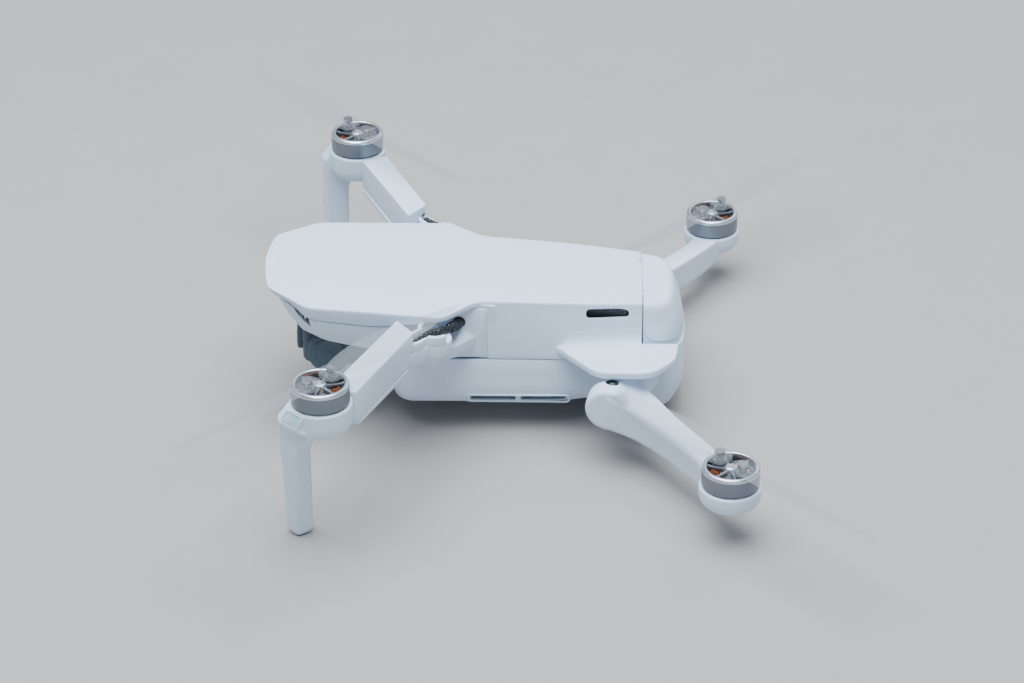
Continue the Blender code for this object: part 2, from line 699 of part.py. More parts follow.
def make_front_arm(side, sign):
    """Front arm with its leg, and the cover, window, pin and cable that go with it."""
    arm_pivot = pivot(f"fold_front_{side}", (FRONT_HINGE.x * sign, FRONT_HINGE.y, LOBE_BOTTOM))
    seat = FRONT_MOTOR
    inner_front, inner_rear = (35.8, -42.6), (43.9, -36.7)
    outer_front, outer_rear = (78.0, -61.2), (81.0, -52.6)
    beam = prism([inner_front, outer_front, outer_rear, inner_rear], 38.0, 48.6, "beam")
    beam = bevelled(beam, 0.7, 1)
    link = prism(
        [(30.2, -34.4), (33.4, -43.0), (40.2, -45.2), (46.0, -38.2), (39.3, -31.9)],
        LOBE_BOTTOM,
        LOBE_TOP,
        "link",
    )
    pin = FRONT_HINGE
    lobe = rod((pin.x, pin.y, LOBE_BOTTOM), (pin.x, pin.y, LOBE_TOP), LOBE_R)
    mount = turned(
        [(0, 0), (MOUNT_R, 0), (MOUNT_R, -6.0), (MOUNT_R - 1.6, -9.4), (0, -10.6)], seat, 28
    )
    leg = loft(make_leg_rings(), "leg")
    arm = join(mount, beam, link, lobe, leg)
    pocket = prism(LED_POCKET, 43.9, 49.0, "pocket")
    bore = rod((pin.x, pin.y, 30), (pin.x, pin.y, 50), PIN_R + PIN_CLEARANCE, sides=16)
    slot = rod((38.0, -33.6, 43.8), (47.0, -41.2, 43.8), 1.75, sides=10)
    arm = cut(arm, pocket, bore, slot)
    cover = prism(
        [(47.0, -48.1), (76.6, -60.9), (79.6, -52.2), (47.4, -38.0)], 35.9, 37.65, "cover"
    )
    cover = bevelled(cover, 0.4, 1)
    window = prism(LED_OUTLINE, 44.25, 46.6, "window")
    window = bevelled(window, 0.3, 1)
    post = rod((pin.x, pin.y, LUG_BOTTOM + 1.4), (pin.x, pin.y, LOBE_TOP - 0.2), PIN_R, sides=16)
    pieces = {
        f"arm_front_{side}": (arm, "arm_white", arm_pivot, (seat.x * sign, seat.y, 40)),
        f"arm_cover_front_{side}": (cover, "cover_white", arm_pivot, (60 * sign, -49, 37)),
        f"led_window_{side}": (window, "led_window", arm_pivot, (92 * sign, -72, 45)),
        f"hinge_pin_front_{side}": (post, "pin_steel", None, (pin.x * sign, pin.y, 36)),
    }
    for name, (piece, look, parent, origin) in pieces.items():
        place(piece, sign, name, look, parent, origin)
    make_cable(side, sign)
    make_propulsion(side, sign, "front", FRONT_MOTOR, arm_pivot)


def place(piece, sign, name, look, parent, origin):
    """Finish a left-hand piece, mirrored first if it is for the right side."""
    if sign < 0:
        other = mirrored(piece)
        bpy.data.objects.remove(piece, do_unlink=True)
        piece = other
    finish(piece, name, look, origin, parent)


def make_leg_rings():
    """Sections of the landing leg, from its rounded tip up to the motor mount."""
    shape = [(88.0, -76.2), (91.4, -75.4), (96.3, -69.8)]
    shape += [(92.4, -66.0), (86.0, -66.3), (84.4, -74.6)]
    lower = [(87.3, -76.0), (89.6, -74.6), (93.6, -70.6)]
    lower += [(90.0, -66.6), (86.0, -66.8), (84.2, -74.4)]
    tip = [(84.0, -75.0), (85.8, -74.2), (88.4, -71.4)]
    tip += [(85.4, -67.8), (82.2, -68.0), (81.2, -73.8)]
    middle = sum((Vector(point) for point in tip), Vector((0.0, 0.0))) / len(tip)
    sole = [tuple(middle + (Vector(point) - middle) * SOLE_SCALE) for point in tip]
    levels = [(sole, 0.0), (tip, 1.6), (lower, 36.0), (shape, 44.0), (shape, 45.6)]
    return [[(x, y, z) for x, y in ring] for ring, z in levels]


def make_cable(side, sign):
    """Cable from the flank over the hinge into the arm."""
    route = [(24.0, -22.5, 43.8), (27.5, -22.9, 43.85), (31.2, -25.2, 43.9)]
    route += [(34.2, -28.6, 43.9), (37.0, -32.1, 43.85), (40.3, -35.5, 43.8)]
    curve = bpy.data.curves.new("cable", "CURVE")
    curve.dimensions = "3D"
    curve.bevel_depth = CABLE_R * MM
    curve.bevel_resolution = 2
    curve.use_fill_caps = True
    spline = curve.splines.new("POLY")
    spline.points.add(len(route) - 1)
    for point, (x, y, z) in zip(spline.points, route):
        point.co = (x * sign * MM, y * MM, z * MM, 1.0)
    cable = baked(new_object("cable", curve))
    finish(cable, f"arm_cable_{side}", "cable_black", (34 * sign, -28.6, 43.9))


def make_rear_arm(side, sign):
    """Rear arm with its root barrel and hinge pin."""
    hinge = Vector((REAR_HINGE.x * sign, REAR_HINGE.y, REAR_HINGE.z))
    arm_pivot = pivot(f"fold_rear_{side}", hinge)
    stations = [
        ((47.0, 26.0), (33.4, 32.6), 24.6, 14.2),
        ((47.2, 34.0), (34.4, 37.6), 22.4, 11.6),
        ((55.0, 42.0), (47.6, 46.8), 20.6, 9.8),
        ((69.3, 52.0), (63.4, 57.8), 19.4, 9.2),
        ((80.0, 56.6), (77.0, 66.6), 18.7, 9.6),
    ]
    rings = [[(*o, zt), (*i, zt), (*i, zb), (*o, zb)] for o, i, zt, zb in stations]
    beam = bevelled(loft(rings, "beam"), 0.8, 1, 50.0)
    barrel = rod(
        REAR_HINGE + REAR_AXIS * BARREL_INNER, REAR_HINGE + REAR_AXIS * BARREL_OUTER, BARREL_R
    )
    barrel = bevelled(barrel, 1.2, 2, 60.0)
    mount = turned(
        [(0, 0), (MOUNT_R, 0), (MOUNT_R, -4.2), (MOUNT_R - 1.4, -7.6), (6.0, -9.6), (0, -9.8)],
        REAR_MOTOR,
        28,
    )
    boss_room = rod(
        REAR_HINGE + REAR_AXIS * -26.0,
        REAR_HINGE + REAR_AXIS * (BARREL_INNER - 0.01),
        BOSS_R + 0.7,
        name="boss_room",
    )
    arm = join(mount, cut(beam, boss_room), barrel)
    inner = REAR_HINGE + REAR_AXIS * (BARREL_INNER - 4)
    outer = REAR_HINGE + REAR_AXIS * 6.0
    arm = cut(arm, rod(inner, outer, PIN_R + PIN_CLEARANCE, sides=16))
    pin = rod(REAR_HINGE + REAR_AXIS * -18.5, REAR_HINGE + REAR_AXIS * 5.5, PIN_R, sides=16)
    place(arm, sign, f"arm_rear_{side}", "arm_white", arm_pivot, hinge)
    place(pin, sign, f"hinge_pin_rear_{side}", "pin_steel", None, hinge)
    make_propulsion(side, sign, "rear", REAR_MOTOR, arm_pivot)


# ---------------------------------------------------------------- the drone


def main():
    """Build every part."""
    make_upper_shell()
    make_nose_shell()
    make_belly_shell()
    for side, sign in SIDES:
        make_hinge_panel(side, sign)
    make_battery_door(pivot("door_hinge", DOOR_HINGE))
    make_inner_parts(pivot("battery_slide", (0, 0, 36)), pivot("button_travel", (0, 17.5, 9)))
    yaw = pivot("gimbal_yaw", (0, YAW_Y, 40))
    roll = pivot("gimbal_roll", (0, -50.2, TILT_Z), yaw)
    tilt = pivot("gimbal_tilt", (0, TILT_Y, TILT_Z), roll)
    make_gimbal(yaw, roll, tilt)
    for side, sign in SIDES:
        make_front_arm(side, sign)
        make_rear_arm(side, sign)


clear_scene()
CUTTERS = new_collection("cutters")
DRONE = new_collection("palm_drone")
main()
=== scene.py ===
"""Looks of a folding palm-size camera drone, built around its fixed frame.

Sizes in the classes are millimetres in the frame's axes: +Z up, nose towards -Y, the drone's
own left towards +X. Left-hand pieces are modelled first and mirrored for the right.
"""

from __future__ import annotations

import logging
import math
from dataclasses import dataclass, field
from enum import Enum
from typing import Callable, ClassVar, Iterable, Sequence
import bmesh  # noqa: E402
import bpy  # noqa: E402
import numpy as np  # noqa: E402
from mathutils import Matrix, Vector  # noqa: E402


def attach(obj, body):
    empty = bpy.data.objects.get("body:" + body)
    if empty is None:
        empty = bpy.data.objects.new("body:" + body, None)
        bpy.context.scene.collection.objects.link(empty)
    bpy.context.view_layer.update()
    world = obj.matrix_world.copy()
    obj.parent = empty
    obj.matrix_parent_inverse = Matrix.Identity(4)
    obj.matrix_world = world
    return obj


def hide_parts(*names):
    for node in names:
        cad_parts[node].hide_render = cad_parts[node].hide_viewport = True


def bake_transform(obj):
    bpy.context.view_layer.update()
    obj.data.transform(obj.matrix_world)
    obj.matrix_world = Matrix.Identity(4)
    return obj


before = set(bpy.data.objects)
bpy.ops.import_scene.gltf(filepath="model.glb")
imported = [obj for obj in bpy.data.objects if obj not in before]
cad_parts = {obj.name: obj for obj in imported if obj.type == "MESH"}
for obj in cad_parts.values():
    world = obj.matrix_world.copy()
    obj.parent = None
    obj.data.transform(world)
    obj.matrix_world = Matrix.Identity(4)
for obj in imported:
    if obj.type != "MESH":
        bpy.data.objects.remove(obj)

log = logging.getLogger("drone")

MM = 0.001
TURN = 2.0 * math.pi
WALL = 1.2
MERGE = 0.002
SEAM_MERGE = 0.01
SHELL_ANGLE = 32.0
RIM_ANGLE = 58.0
BLADE_PIVOT = 5.0
ORIGIN = (0.0, 0.0, 0.0)

Point = Sequence[float]
Rows = Sequence[Sequence[Point]]


class Side(Enum):
    """Left or right of the drone, with the sign of its X."""

    LEFT = 1
    RIGHT = -1

    @property
    def word(self) -> str:
        """The word used in names."""
        return self.name.lower()


class Place(Enum):
    """Front or rear pair of motors."""

    FRONT = "front"
    REAR = "rear"


# ---------------------------------------------------------------- paths


def rounded(
    points: Sequence[Point],
    reach: float | Sequence[float],
    steps: int = 5,
    measure: slice = slice(None),
    closed: bool = False,
) -> np.ndarray:
    """Round the corners of a path whose points may carry more numbers than a place.

    Args:
        points: Corners of the path.
        reach: How far from a corner its curve starts, one number or one for each corner.
        steps: Pieces in each curve.
        measure: Which of a point's numbers give its place.
        closed: Whether the last point joins the first.

    Returns:
        The points of the rounded path.
    """
    corners = np.array(points, float)
    count = len(corners)
    reaches = [reach] * count if isinstance(reach, (int, float)) else list(reach)
    path: list[np.ndarray] = []
    for k, here in enumerate(corners):
        ends = k in (0, count - 1)
        if (ends and not closed) or reaches[k] <= 0.0:
            path.append(here)
            continue
        before, after = corners[k - 1], corners[(k + 1) % count]
        starts = []
        for other in (before, after):
            length = float(np.linalg.norm((other - here)[measure]))
            starts.append(here + (other - here) * min(reaches[k] / max(length, 1e-9), 0.48))
        for step in range(steps + 1):
            t = step / steps
            bend = 2.0 * t * (1.0 - t)
            path.append(starts[0] * (1.0 - t) ** 2 + here * bend + starts[1] * t * t)
    return np.array(path)


def refined(path: np.ndarray, spacing: float, measure: slice = slice(None)) -> np.ndarray:
    """Add points to the long stretches of a path.

    Args:
        path: Points of the path.
        spacing: Longest stretch left.
        measure: Which of a point's numbers give its place.

    Returns:
        The path with its added points.
    """
    out = [path[0]]
    for here, after in zip(path, path[1:]):
        length = float(np.linalg.norm((after - here)[measure]))
        pieces = max(1, math.ceil(length / spacing))
        out += [here + (after - here) * (k / pieces) for k in range(1, pieces + 1)]
    return np.array(out)


# ---------------------------------------------------------------- modelling moves


class Bench:
    """Modelling moves shared by the sub-assemblies. Points come in millimetres."""

    @staticmethod
    def clear() -> None:
        """Leave nothing selected, in object mode."""
        if bpy.context.object and bpy.context.object.mode != "OBJECT":
            bpy.ops.object.mode_set(mode="OBJECT")
        bpy.ops.object.select_all(action="DESELECT")

    @staticmethod
    def pick(obj: bpy.types.Object) -> None:
        """Make one object the only one selected, and active."""
        Bench.clear()
        obj.hide_set(False)
        obj.select_set(True)
        bpy.context.view_layer.objects.active = obj

    @staticmethod
    def adopt(name: str) -> bpy.types.Object:
        """Name the primitive just added, with its place in its mesh."""
        obj = bpy.context.object
        obj.name = name
        obj.data.name = name
        bpy.ops.object.transform_apply(location=True, rotation=True, scale=True)
        return obj

    @staticmethod
    def edit(obj: bpy.types.Object, *moves: Callable[[], object]) -> bpy.types.Object:
        """Run operators on all of a mesh in edit mode.

        Args:
            obj: The piece.
            moves: Calls without arguments, each run with everything selected.

        Returns:
            The same piece, in object mode.
        """
        Bench.pick(obj)
        bpy.ops.object.mode_set(mode="EDIT")
        for move in moves:
            bpy.ops.mesh.select_all(action="SELECT")
            move()
        bpy.ops.object.mode_set(mode="OBJECT")
        return obj

    @staticmethod
    def shape(obj: bpy.types.Object, points: Iterable[Point]) -> None:
        """Put the vertices of a primitive, in order, at points in millimetres."""
        flat = np.array(list(points), float).reshape(-1, 3) * MM
        if len(flat) != len(obj.data.vertices):
            raise ValueError(f"{obj.name}: {len(flat)} points, {len(obj.data.vertices)} vertices")
        obj.data.vertices.foreach_set("co", flat.ravel())
        obj.data.update()

    @staticmethod
    def tidy(obj: bpy.types.Object, gap: float = 0.004) -> bpy.types.Object:
        """Merge doubles, and turn the faces outwards."""
        return Bench.edit(
            obj,
            lambda: bpy.ops.mesh.remove_doubles(threshold=gap * MM),
            lambda: bpy.ops.mesh.dissolve_degenerate(threshold=gap * MM),
            lambda: bpy.ops.mesh.normals_make_consistent(inside=False),
        )

    @staticmethod
    def grid(name: str, rows: Rows) -> bpy.types.Object:
        """A sheet of quads through rows of points."""
        Bench.clear()
        bpy.ops.mesh.primitive_grid_add(
            x_subdivisions=len(rows[0]) - 1, y_subdivisions=len(rows) - 1, size=1.0
        )
        obj = Bench.adopt(name)
        Bench.shape(obj, [point for row in rows for point in row])
        return obj

    @staticmethod
    def loft(name: str, rings: Rows) -> bpy.types.Object:
        """A closed solid through rings of points."""
        obj = Bench.grid(name, [list(ring) + [ring[0]] for ring in rings])
        Bench.edit(
            obj,
            lambda: bpy.ops.mesh.remove_doubles(threshold=MERGE * MM),
            Bench.cap,
            lambda: bpy.ops.mesh.normals_make_consistent(inside=False),
        )
        return obj

    @staticmethod
    def cap() -> None:
        """Close the open ends of the mesh in edit mode."""
        bpy.ops.mesh.select_all(action="DESELECT")
        bpy.ops.mesh.select_non_manifold(extend=False)
        bpy.ops.mesh.fill_holes(sides=0)

    @staticmethod
    def slab(
        name: str, outline: Sequence[Point], low: float, high: float, axis: int = 2
    ) -> bpy.types.Object:
        """A flat outline pulled out along an axis.

        Args:
            name: Name of the piece.
            outline: Two numbers for each corner, in the order of the other two axes.
            low: Where the slab starts along the axis.
            high: Where it ends.
            axis: 0 for X, 1 for Y, 2 for Z.

        Returns:
            The slab.
        """
        Bench.clear()
        bpy.ops.mesh.primitive_circle_add(vertices=len(outline), fill_type="NGON", radius=1.0)
        obj = Bench.adopt(name)
        flat = [list(point) for point in outline]
        for point in flat:
            point.insert(axis, low)
        Bench.shape(obj, flat)
        pull = [0.0, 0.0, 0.0]
        pull[axis] = (high - low) * MM
        return Bench.edit(
            obj,
            lambda: bpy.ops.mesh.extrude_region_move(TRANSFORM_OT_translate={"value": pull}),
            lambda: bpy.ops.mesh.normals_make_consistent(inside=False),
        )

    @staticmethod
    def block(name: str, low: Point, high: Point) -> bpy.types.Object:
        """A block between two corners, to be shaped further."""
        Bench.clear()
        low_v, high_v = Vector(low) * MM, Vector(high) * MM
        bpy.ops.mesh.primitive_cube_add(
            size=1.0, location=(low_v + high_v) / 2, scale=high_v - low_v
        )
        return Bench.adopt(name)

    @staticmethod
    def rod(
        name: str,
        start: Point,
        end: Point,
        radius: float,
        end_radius: float | None = None,
        sides: int = 32,
    ) -> bpy.types.Object:
        """A round bar or cone between two points."""
        Bench.clear()
        first, last = Vector(start) * MM, Vector(end) * MM
        way = last - first
        bpy.ops.mesh.primitive_cone_add(
            vertices=sides,
            radius1=radius * MM,
            radius2=(radius if end_radius is None else end_radius) * MM,
            depth=way.length,
            location=(first + last) / 2,
            rotation=way.to_track_quat("Z", "Y").to_euler(),
        )
        return Bench.adopt(name)

    @staticmethod
    def turned(
        name: str, profile: Sequence[Point], centre: Point, steps: int = 64
    ) -> bpy.types.Object:
        """A profile of (radius, height) spun about a vertical axis.

        Args:
            name: Name of the piece.
            profile: Corners of the profile; it is closed unless both ends are on the axis.
            centre: Foot of the axis.
            steps: Pieces round the circle.

        Returns:
            The turned piece.
        """
        Bench.clear()
        bpy.ops.mesh.primitive_circle_add(vertices=len(profile), fill_type="NOTHING", radius=1.0)
        obj = Bench.adopt(name)
        x, y, z = centre
        Bench.shape(obj, [(x + r, y, z + h) for r, h in profile])
        on_axis = profile[0][0] == 0.0 and profile[-1][0] == 0.0
        if on_axis:
            Bench.pick(obj)
            bpy.ops.object.mode_set(mode="EDIT")
            mesh = bmesh.from_edit_mesh(obj.data)
            mesh.verts.ensure_lookup_table()
            ends = {mesh.verts[0], mesh.verts[len(profile) - 1]}
            for edge in mesh.edges:
                edge.select = set(edge.verts) == ends
            bpy.ops.mesh.delete(type="EDGE")
            bpy.ops.object.mode_set(mode="OBJECT")
        return Bench.edit(
            obj,
            lambda: bpy.ops.mesh.spin(
                steps=steps, angle=TURN, center=Vector(centre) * MM, axis=(0.0, 0.0, 1.0)
            ),
            lambda: bpy.ops.mesh.remove_doubles(threshold=MERGE * MM),
            lambda: bpy.ops.mesh.normals_make_consistent(inside=False),
        )

    @staticmethod
    def tube(
        name: str, path: Sequence[Point], radii: float | Sequence[float], sides: int = 16,
        closed: bool = False,
    ) -> bpy.types.Object:
        """A tube along a path, with a UV map that runs round and along it.

        Args:
            name: Name of the piece.
            path: Points of the middle line.
            radii: One radius, or one for each point.
            sides: Sides of the tube.
            closed: Whether the tube joins itself.

        Returns:
            The tube, closed at its ends.
        """
        points = [Vector(point) for point in path]
        count = len(points)
        sizes = [radii] * count if isinstance(radii, (int, float)) else list(radii)
        rows = []
        for k, point in enumerate(points):
            if closed:
                way = points[(k + 1) % count] - points[k - 1]
            else:
                way = points[min(k + 1, count - 1)] - points[max(k - 1, 0)]
            way.normalize()
            side = way.cross(Vector((0, 0, 1)))
            side = side.normalized() if side.length > 0.05 else Vector((1, 0, 0))
            up = side.cross(way)
            turns = [TURN * step / sides for step in range(sides)]
            ring = [point + (side * math.cos(a) + up * math.sin(a)) * sizes[k] for a in turns]
            rows.append(ring + [ring[0]])
        if closed:
            rows.append(rows[0])
        obj = Bench.grid(name, rows)
        layer = obj.data.uv_layers.active or obj.data.uv_layers.new(name="UVMap")
        along = np.cumsum([0.0] + [(b - a).length for a, b in zip(points, points[1:])])
        if closed:
            along = np.append(along, along[-1] + (points[0] - points[-1]).length)
        for loop in obj.data.loops:
            row, column = divmod(loop.vertex_index, sides + 1)
            layer.data[loop.index].uv = (column / sides, along[row])
        moves = [lambda: bpy.ops.mesh.remove_doubles(threshold=MERGE * MM)]
        if not closed:
            moves.append(Bench.cap)
        moves.append(lambda: bpy.ops.mesh.normals_make_consistent(inside=False))
        return Bench.edit(obj, *moves)

    @staticmethod
    def modify(obj: bpy.types.Object, kind: str, **settings: object) -> bpy.types.Object:
        """Add a modifier with these settings, and apply it."""
        Bench.pick(obj)
        modifier = obj.modifiers.new(kind.lower(), kind)
        for key, value in settings.items():
            setattr(modifier, key, value)
        bpy.ops.object.modifier_apply(modifier=modifier.name)
        return obj

    @staticmethod
    def soften(
        obj: bpy.types.Object, width: float, segments: int = 3, angle: float = 35.0
    ) -> bpy.types.Object:
        """Round the edges sharper than an angle in degrees."""
        return Bench.modify(
            obj, "BEVEL", width=width * MM, segments=segments, limit_method="ANGLE",
            angle_limit=math.radians(angle),
        )

    @staticmethod
    def combine(
        obj: bpy.types.Object, *others: bpy.types.Object, how: str = "UNION"
    ) -> bpy.types.Object:
        """Join others to a piece, or cut them from it with how="DIFFERENCE"."""
        for other in others:
            Bench.modify(obj, "BOOLEAN", object=other, operation=how, solver="MANIFOLD")
            bpy.data.objects.remove(other, do_unlink=True)
        return obj

    @staticmethod
    def melt(obj: bpy.types.Object, voxel: float, passes: int = 6) -> bpy.types.Object:
        """Blend the joins of a solid into one moulding with small fillets.

        Args:
            obj: The joined solid.
            voxel: Size of the new mesh's cells, in millimetres.
            passes: How often the surface is relaxed.

        Returns:
            The same piece with its new mesh.
        """
        Bench.modify(obj, "REMESH", mode="VOXEL", voxel_size=voxel * MM, adaptivity=0.0)
        return Bench.modify(obj, "SMOOTH", factor=0.5, iterations=passes)

    @staticmethod
    def other_side(obj: bpy.types.Object, name: str) -> bpy.types.Object:
        """A mirrored copy, with its own mesh, on the drone's other side."""
        Bench.pick(obj)
        bpy.ops.object.duplicate()
        copy = bpy.context.object
        copy.name = name
        copy.data.name = name
        return Bench.edit(
            copy,
            lambda: bpy.ops.transform.resize(
                value=(-1.0, 1.0, 1.0), center_override=ORIGIN
            ),
            lambda: bpy.ops.mesh.flip_normals(),
        )

    @staticmethod
    def copy_to(obj: bpy.types.Object, name: str, shift: Point, turn: float = 0.0,
                centre: Point = ORIGIN) -> bpy.types.Object:
        """A copy turned about a vertical axis and then moved.

        Args:
            obj: Piece to copy.
            name: Name of the copy.
            shift: Move in millimetres.
            turn: Angle in radians, seen from above.
            centre: Point on the axis of the turn.

        Returns:
            The copy, with its own mesh.
        """
        copy = obj.copy()
        copy.data = obj.data.copy()
        copy.name = name
        copy.data.name = name
        bpy.context.collection.objects.link(copy)
        middle = np.array(centre) * MM
        coords = np.empty(len(copy.data.vertices) * 3)
        copy.data.vertices.foreach_get("co", coords)
        coords = coords.reshape(-1, 3) - middle
        c, s = math.cos(turn), math.sin(turn)
        spin = np.array([[c, s, 0.0], [-s, c, 0.0], [0.0, 0.0, 1.0]])
        coords = coords @ spin + middle + np.array(shift) * MM
        copy.data.vertices.foreach_set("co", coords.ravel())
        copy.data.update()
        return copy

    @staticmethod
    def lay(
        obj: bpy.types.Object, angle: float, axis: str, way: Point, place: Point
    ) -> bpy.types.Object:
        """Turn a piece made at the origin so that it points a way, and move it.

        Args:
            obj: The piece.
            angle: Its turn in radians.
            axis: Letter of the axis of the turn.
            way: Unit vector that the piece must point along.
            place: Where its origin goes.

        Returns:
            The same piece.
        """
        Bench.edit(obj, lambda: bpy.ops.transform.rotate(
            value=angle, orient_axis=axis, center_override=ORIGIN))
        if sum(v.co.dot(Vector(way)) for v in obj.data.vertices) < 0.0:
            flip = tuple(-1.0 if part else 1.0 for part in way)
            Bench.edit(
                obj,
                lambda: bpy.ops.transform.resize(value=flip, center_override=ORIGIN),
                lambda: bpy.ops.mesh.flip_normals(),
            )
        return Bench.edit(obj, lambda: bpy.ops.transform.translate(value=Vector(place) * MM))

    @staticmethod
    def together(name: str, pieces: Sequence[bpy.types.Object]) -> bpy.types.Object:
        """One object that holds several pieces as they are."""
        Bench.clear()
        for piece in pieces:
            piece.select_set(True)
        bpy.context.view_layer.objects.active = pieces[0]
        bpy.ops.object.join()
        pieces[0].name = name
        pieces[0].data.name = name
        return pieces[0]


# ---------------------------------------------------------------- shader maths


class Wire:
    """A node's output that takes part in Python expressions."""

    def __init__(self, graph: Graph, socket: bpy.types.NodeSocket) -> None:
        """Wrap one socket of a graph."""
        self.graph = graph
        self.socket = socket

    def _math(self, operation: str, first: object, second: object) -> Wire:
        """One Math node on two values."""
        node = self.graph.node("ShaderNodeMath", {"operation": operation}, {0: first, 1: second})
        return node("Value")

    def __add__(self, other: Wire | float) -> Wire:
        """Sum."""
        return self._math("ADD", self, other)

    def __mul__(self, other: Wire | float) -> Wire:
        """Product."""
        return self._math("MULTIPLY", self, other)

    def __sub__(self, other: Wire | float) -> Wire:
        """Difference."""
        return self._math("SUBTRACT", self, other)

    def __rsub__(self, other: float) -> Wire:
        """Difference from a number."""
        return self._math("SUBTRACT", other, self)

    __radd__ = __add__
    __rmul__ = __mul__

    def above(self, limit: float, softness: float = 0.05) -> Wire:
        """0 below a limit and 1 above it, with a soft step."""
        node = self.graph.node(
            "ShaderNodeMapRange",
            {"interpolation_type": "SMOOTHSTEP"},
            {"Value": self, "From Min": limit - softness, "From Max": limit + softness},
        )
        return node("Result")

    def wave(self) -> Wire:
        """Sine of the value."""
        return self._math("SINE", self, 0.0)

    def most(self, other: Wire) -> Wire:
        """The larger of two values."""
        return self._math("MAXIMUM", self, other)


class Graph:
    """A material's nodes."""

    def __init__(self, name: str) -> None:
        """Make the material with its one shader."""
        self.material = bpy.data.materials.new(name)
        self.material.use_nodes = True
        self.tree = self.material.node_tree
        self.shader = self.tree.nodes["Principled BSDF"]

    def put(self, socket: bpy.types.NodeSocket, value: object) -> None:
        """Link a wire to a socket, or set the socket to a number or colour."""
        if isinstance(value, Wire):
            self.tree.links.new(value.socket, socket)
        else:
            socket.default_value = value

    def node(
        self, kind: str, settings: dict[str, object], sockets: dict[int | str, object]
    ) -> Callable[[str], Wire]:
        """Add a node.

        Args:
            kind: The node's type.
            settings: Attributes, set first.
            sockets: Values or wires for its inputs.

        Returns:
            A function from an output's name to its wire.
        """
        made = self.tree.nodes.new(kind)
        for key, value in settings.items():
            setattr(made, key, value)
        for key, value in sockets.items():
            self.put(made.inputs[key], value)
        return lambda output: Wire(self, made.outputs[output])

    def place(self) -> Wire:
        """The object's own coordinates."""
        return self.node("ShaderNodeTexCoord", {}, {})("Object")

    def noise(self, grain: float, detail: float = 2.0, stretch: Point = (1, 1, 1)) -> Wire:
        """Noise with features of a size in millimetres."""
        scaled = self.node("ShaderNodeMapping", {}, {"Vector": self.place(), "Scale": stretch})
        sockets = {"Vector": scaled("Vector"), "Scale": 1.0 / (grain * MM), "Detail": detail}
        return self.node("ShaderNodeTexNoise", {}, sockets)("Fac")

    def mix(self, factor: Wire | float, first: object, second: object) -> Wire:
        """Mix two colours."""
        made = self.tree.nodes.new("ShaderNodeMix")
        made.data_type = "RGBA"
        for socket, value in zip((made.inputs[0], made.inputs[6], made.inputs[7]),
                                 (factor, first, second)):
            self.put(socket, value)
        return Wire(self, made.outputs[2])

    def bump(self, height: Wire, strength: float, depth: float) -> None:
        """Give the surface a relief of a depth in millimetres."""
        sockets = {"Height": height, "Strength": strength, "Distance": depth * MM}
        self.put(self.shader.inputs["Normal"], self.node("ShaderNodeBump", {}, sockets)("Normal"))


def colour(r: float, g: float, b: float, factor: float = 1.0) -> tuple[float, ...]:
    """A colour for a socket, darker or lighter by a factor."""
    return (min(r * factor, 1.0), min(g * factor, 1.0), min(b * factor, 1.0), 1.0)


@dataclass(frozen=True)
class Finish:
    """A moulded or machined surface with fine grain, mottling and light marks.

    Attributes:
        name: The material's name.
        slot: The record's slot that it stands for; not used.
        base: Base colour.
        roughness: Middle roughness.
        metallic: 1 for bare metal.
        coat: Clear coat weight.
        grain: Size of the surface grain in millimetres.
        relief: Depth of the grain in millimetres.
        mottle: How much the colour varies over large patches.
        scuffs: How much fine scuffs change the roughness.
        alpha: Opacity.
        stretch: Scale of the grain along each axis, for brushed surfaces.
    """

    name: str
    slot: str
    base: tuple[float, float, float]
    roughness: float = 0.45
    metallic: float = 0.0
    coat: float = 0.0
    grain: float = 0.35
    relief: float = 0.012
    mottle: float = 0.03
    scuffs: float = 0.05
    alpha: float = 1.0
    stretch: tuple[float, float, float] = (1.0, 1.0, 1.0)

    def material(self) -> bpy.types.Material:
        """The material, made on first use."""
        return bpy.data.materials.get(self.name) or self.build().material

    def build(self) -> Graph:
        """Make the nodes."""
        graph = Graph(self.name)
        shader = graph.shader
        shader.inputs["Metallic"].default_value = self.metallic
        shader.inputs["Coat Weight"].default_value = self.coat
        shader.inputs["Alpha"].default_value = self.alpha
        patches = graph.noise(26.0, 3.0)
        dust = graph.noise(1.6, 4.0).above(0.68, 0.06)
        shade = graph.mix(
            patches, colour(*self.base, 1.0 - self.mottle), colour(*self.base, 1.0 + self.mottle)
        )
        shade = graph.mix(dust * (self.mottle * 2.0), shade, colour(*self.base, 0.72))
        graph.put(shader.inputs["Base Color"], shade)
        lines = graph.noise(3.2, 5.0, (1.0, 0.25, 1.0))
        rough = self.roughness + (lines - 0.5) * self.scuffs + dust * (self.scuffs * 0.6)
        graph.put(shader.inputs["Roughness"], rough)
        graph.bump(graph.noise(self.grain, 2.0, self.stretch), 0.5, self.relief)
        return graph


@dataclass(frozen=True)
class Braid(Finish):
    """A woven cable sleeve with pale threads, laid out by the piece's UV map."""

    strands: float = 8.0
    pitch: float = 1.9

    def build(self) -> Graph:
        """Make the crossing threads and the pale flecks."""
        graph = Graph(self.name)
        map_node = graph.node("ShaderNodeUVMap", {}, {})("UV")
        split = graph.node("ShaderNodeSeparateXYZ", {}, {"Vector": map_node})
        round_, along = split("X"), split("Y")
        first = (round_ * (TURN * self.strands / 2) + along * (TURN / self.pitch)).wave()
        second = (round_ * (TURN * self.strands / 2) - along * (TURN / self.pitch)).wave()
        weave = first.most(second)
        flecks = graph.noise(0.42, 1.0).above(0.71, 0.03) * weave.above(0.45, 0.2)
        graph.put(
            graph.shader.inputs["Base Color"],
            graph.mix(flecks, colour(*self.base), colour(0.62, 0.66, 0.7)),
        )
        graph.put(graph.shader.inputs["Roughness"], 0.75 - weave * 0.2)
        graph.bump(weave, 0.9, 0.22)
        return graph


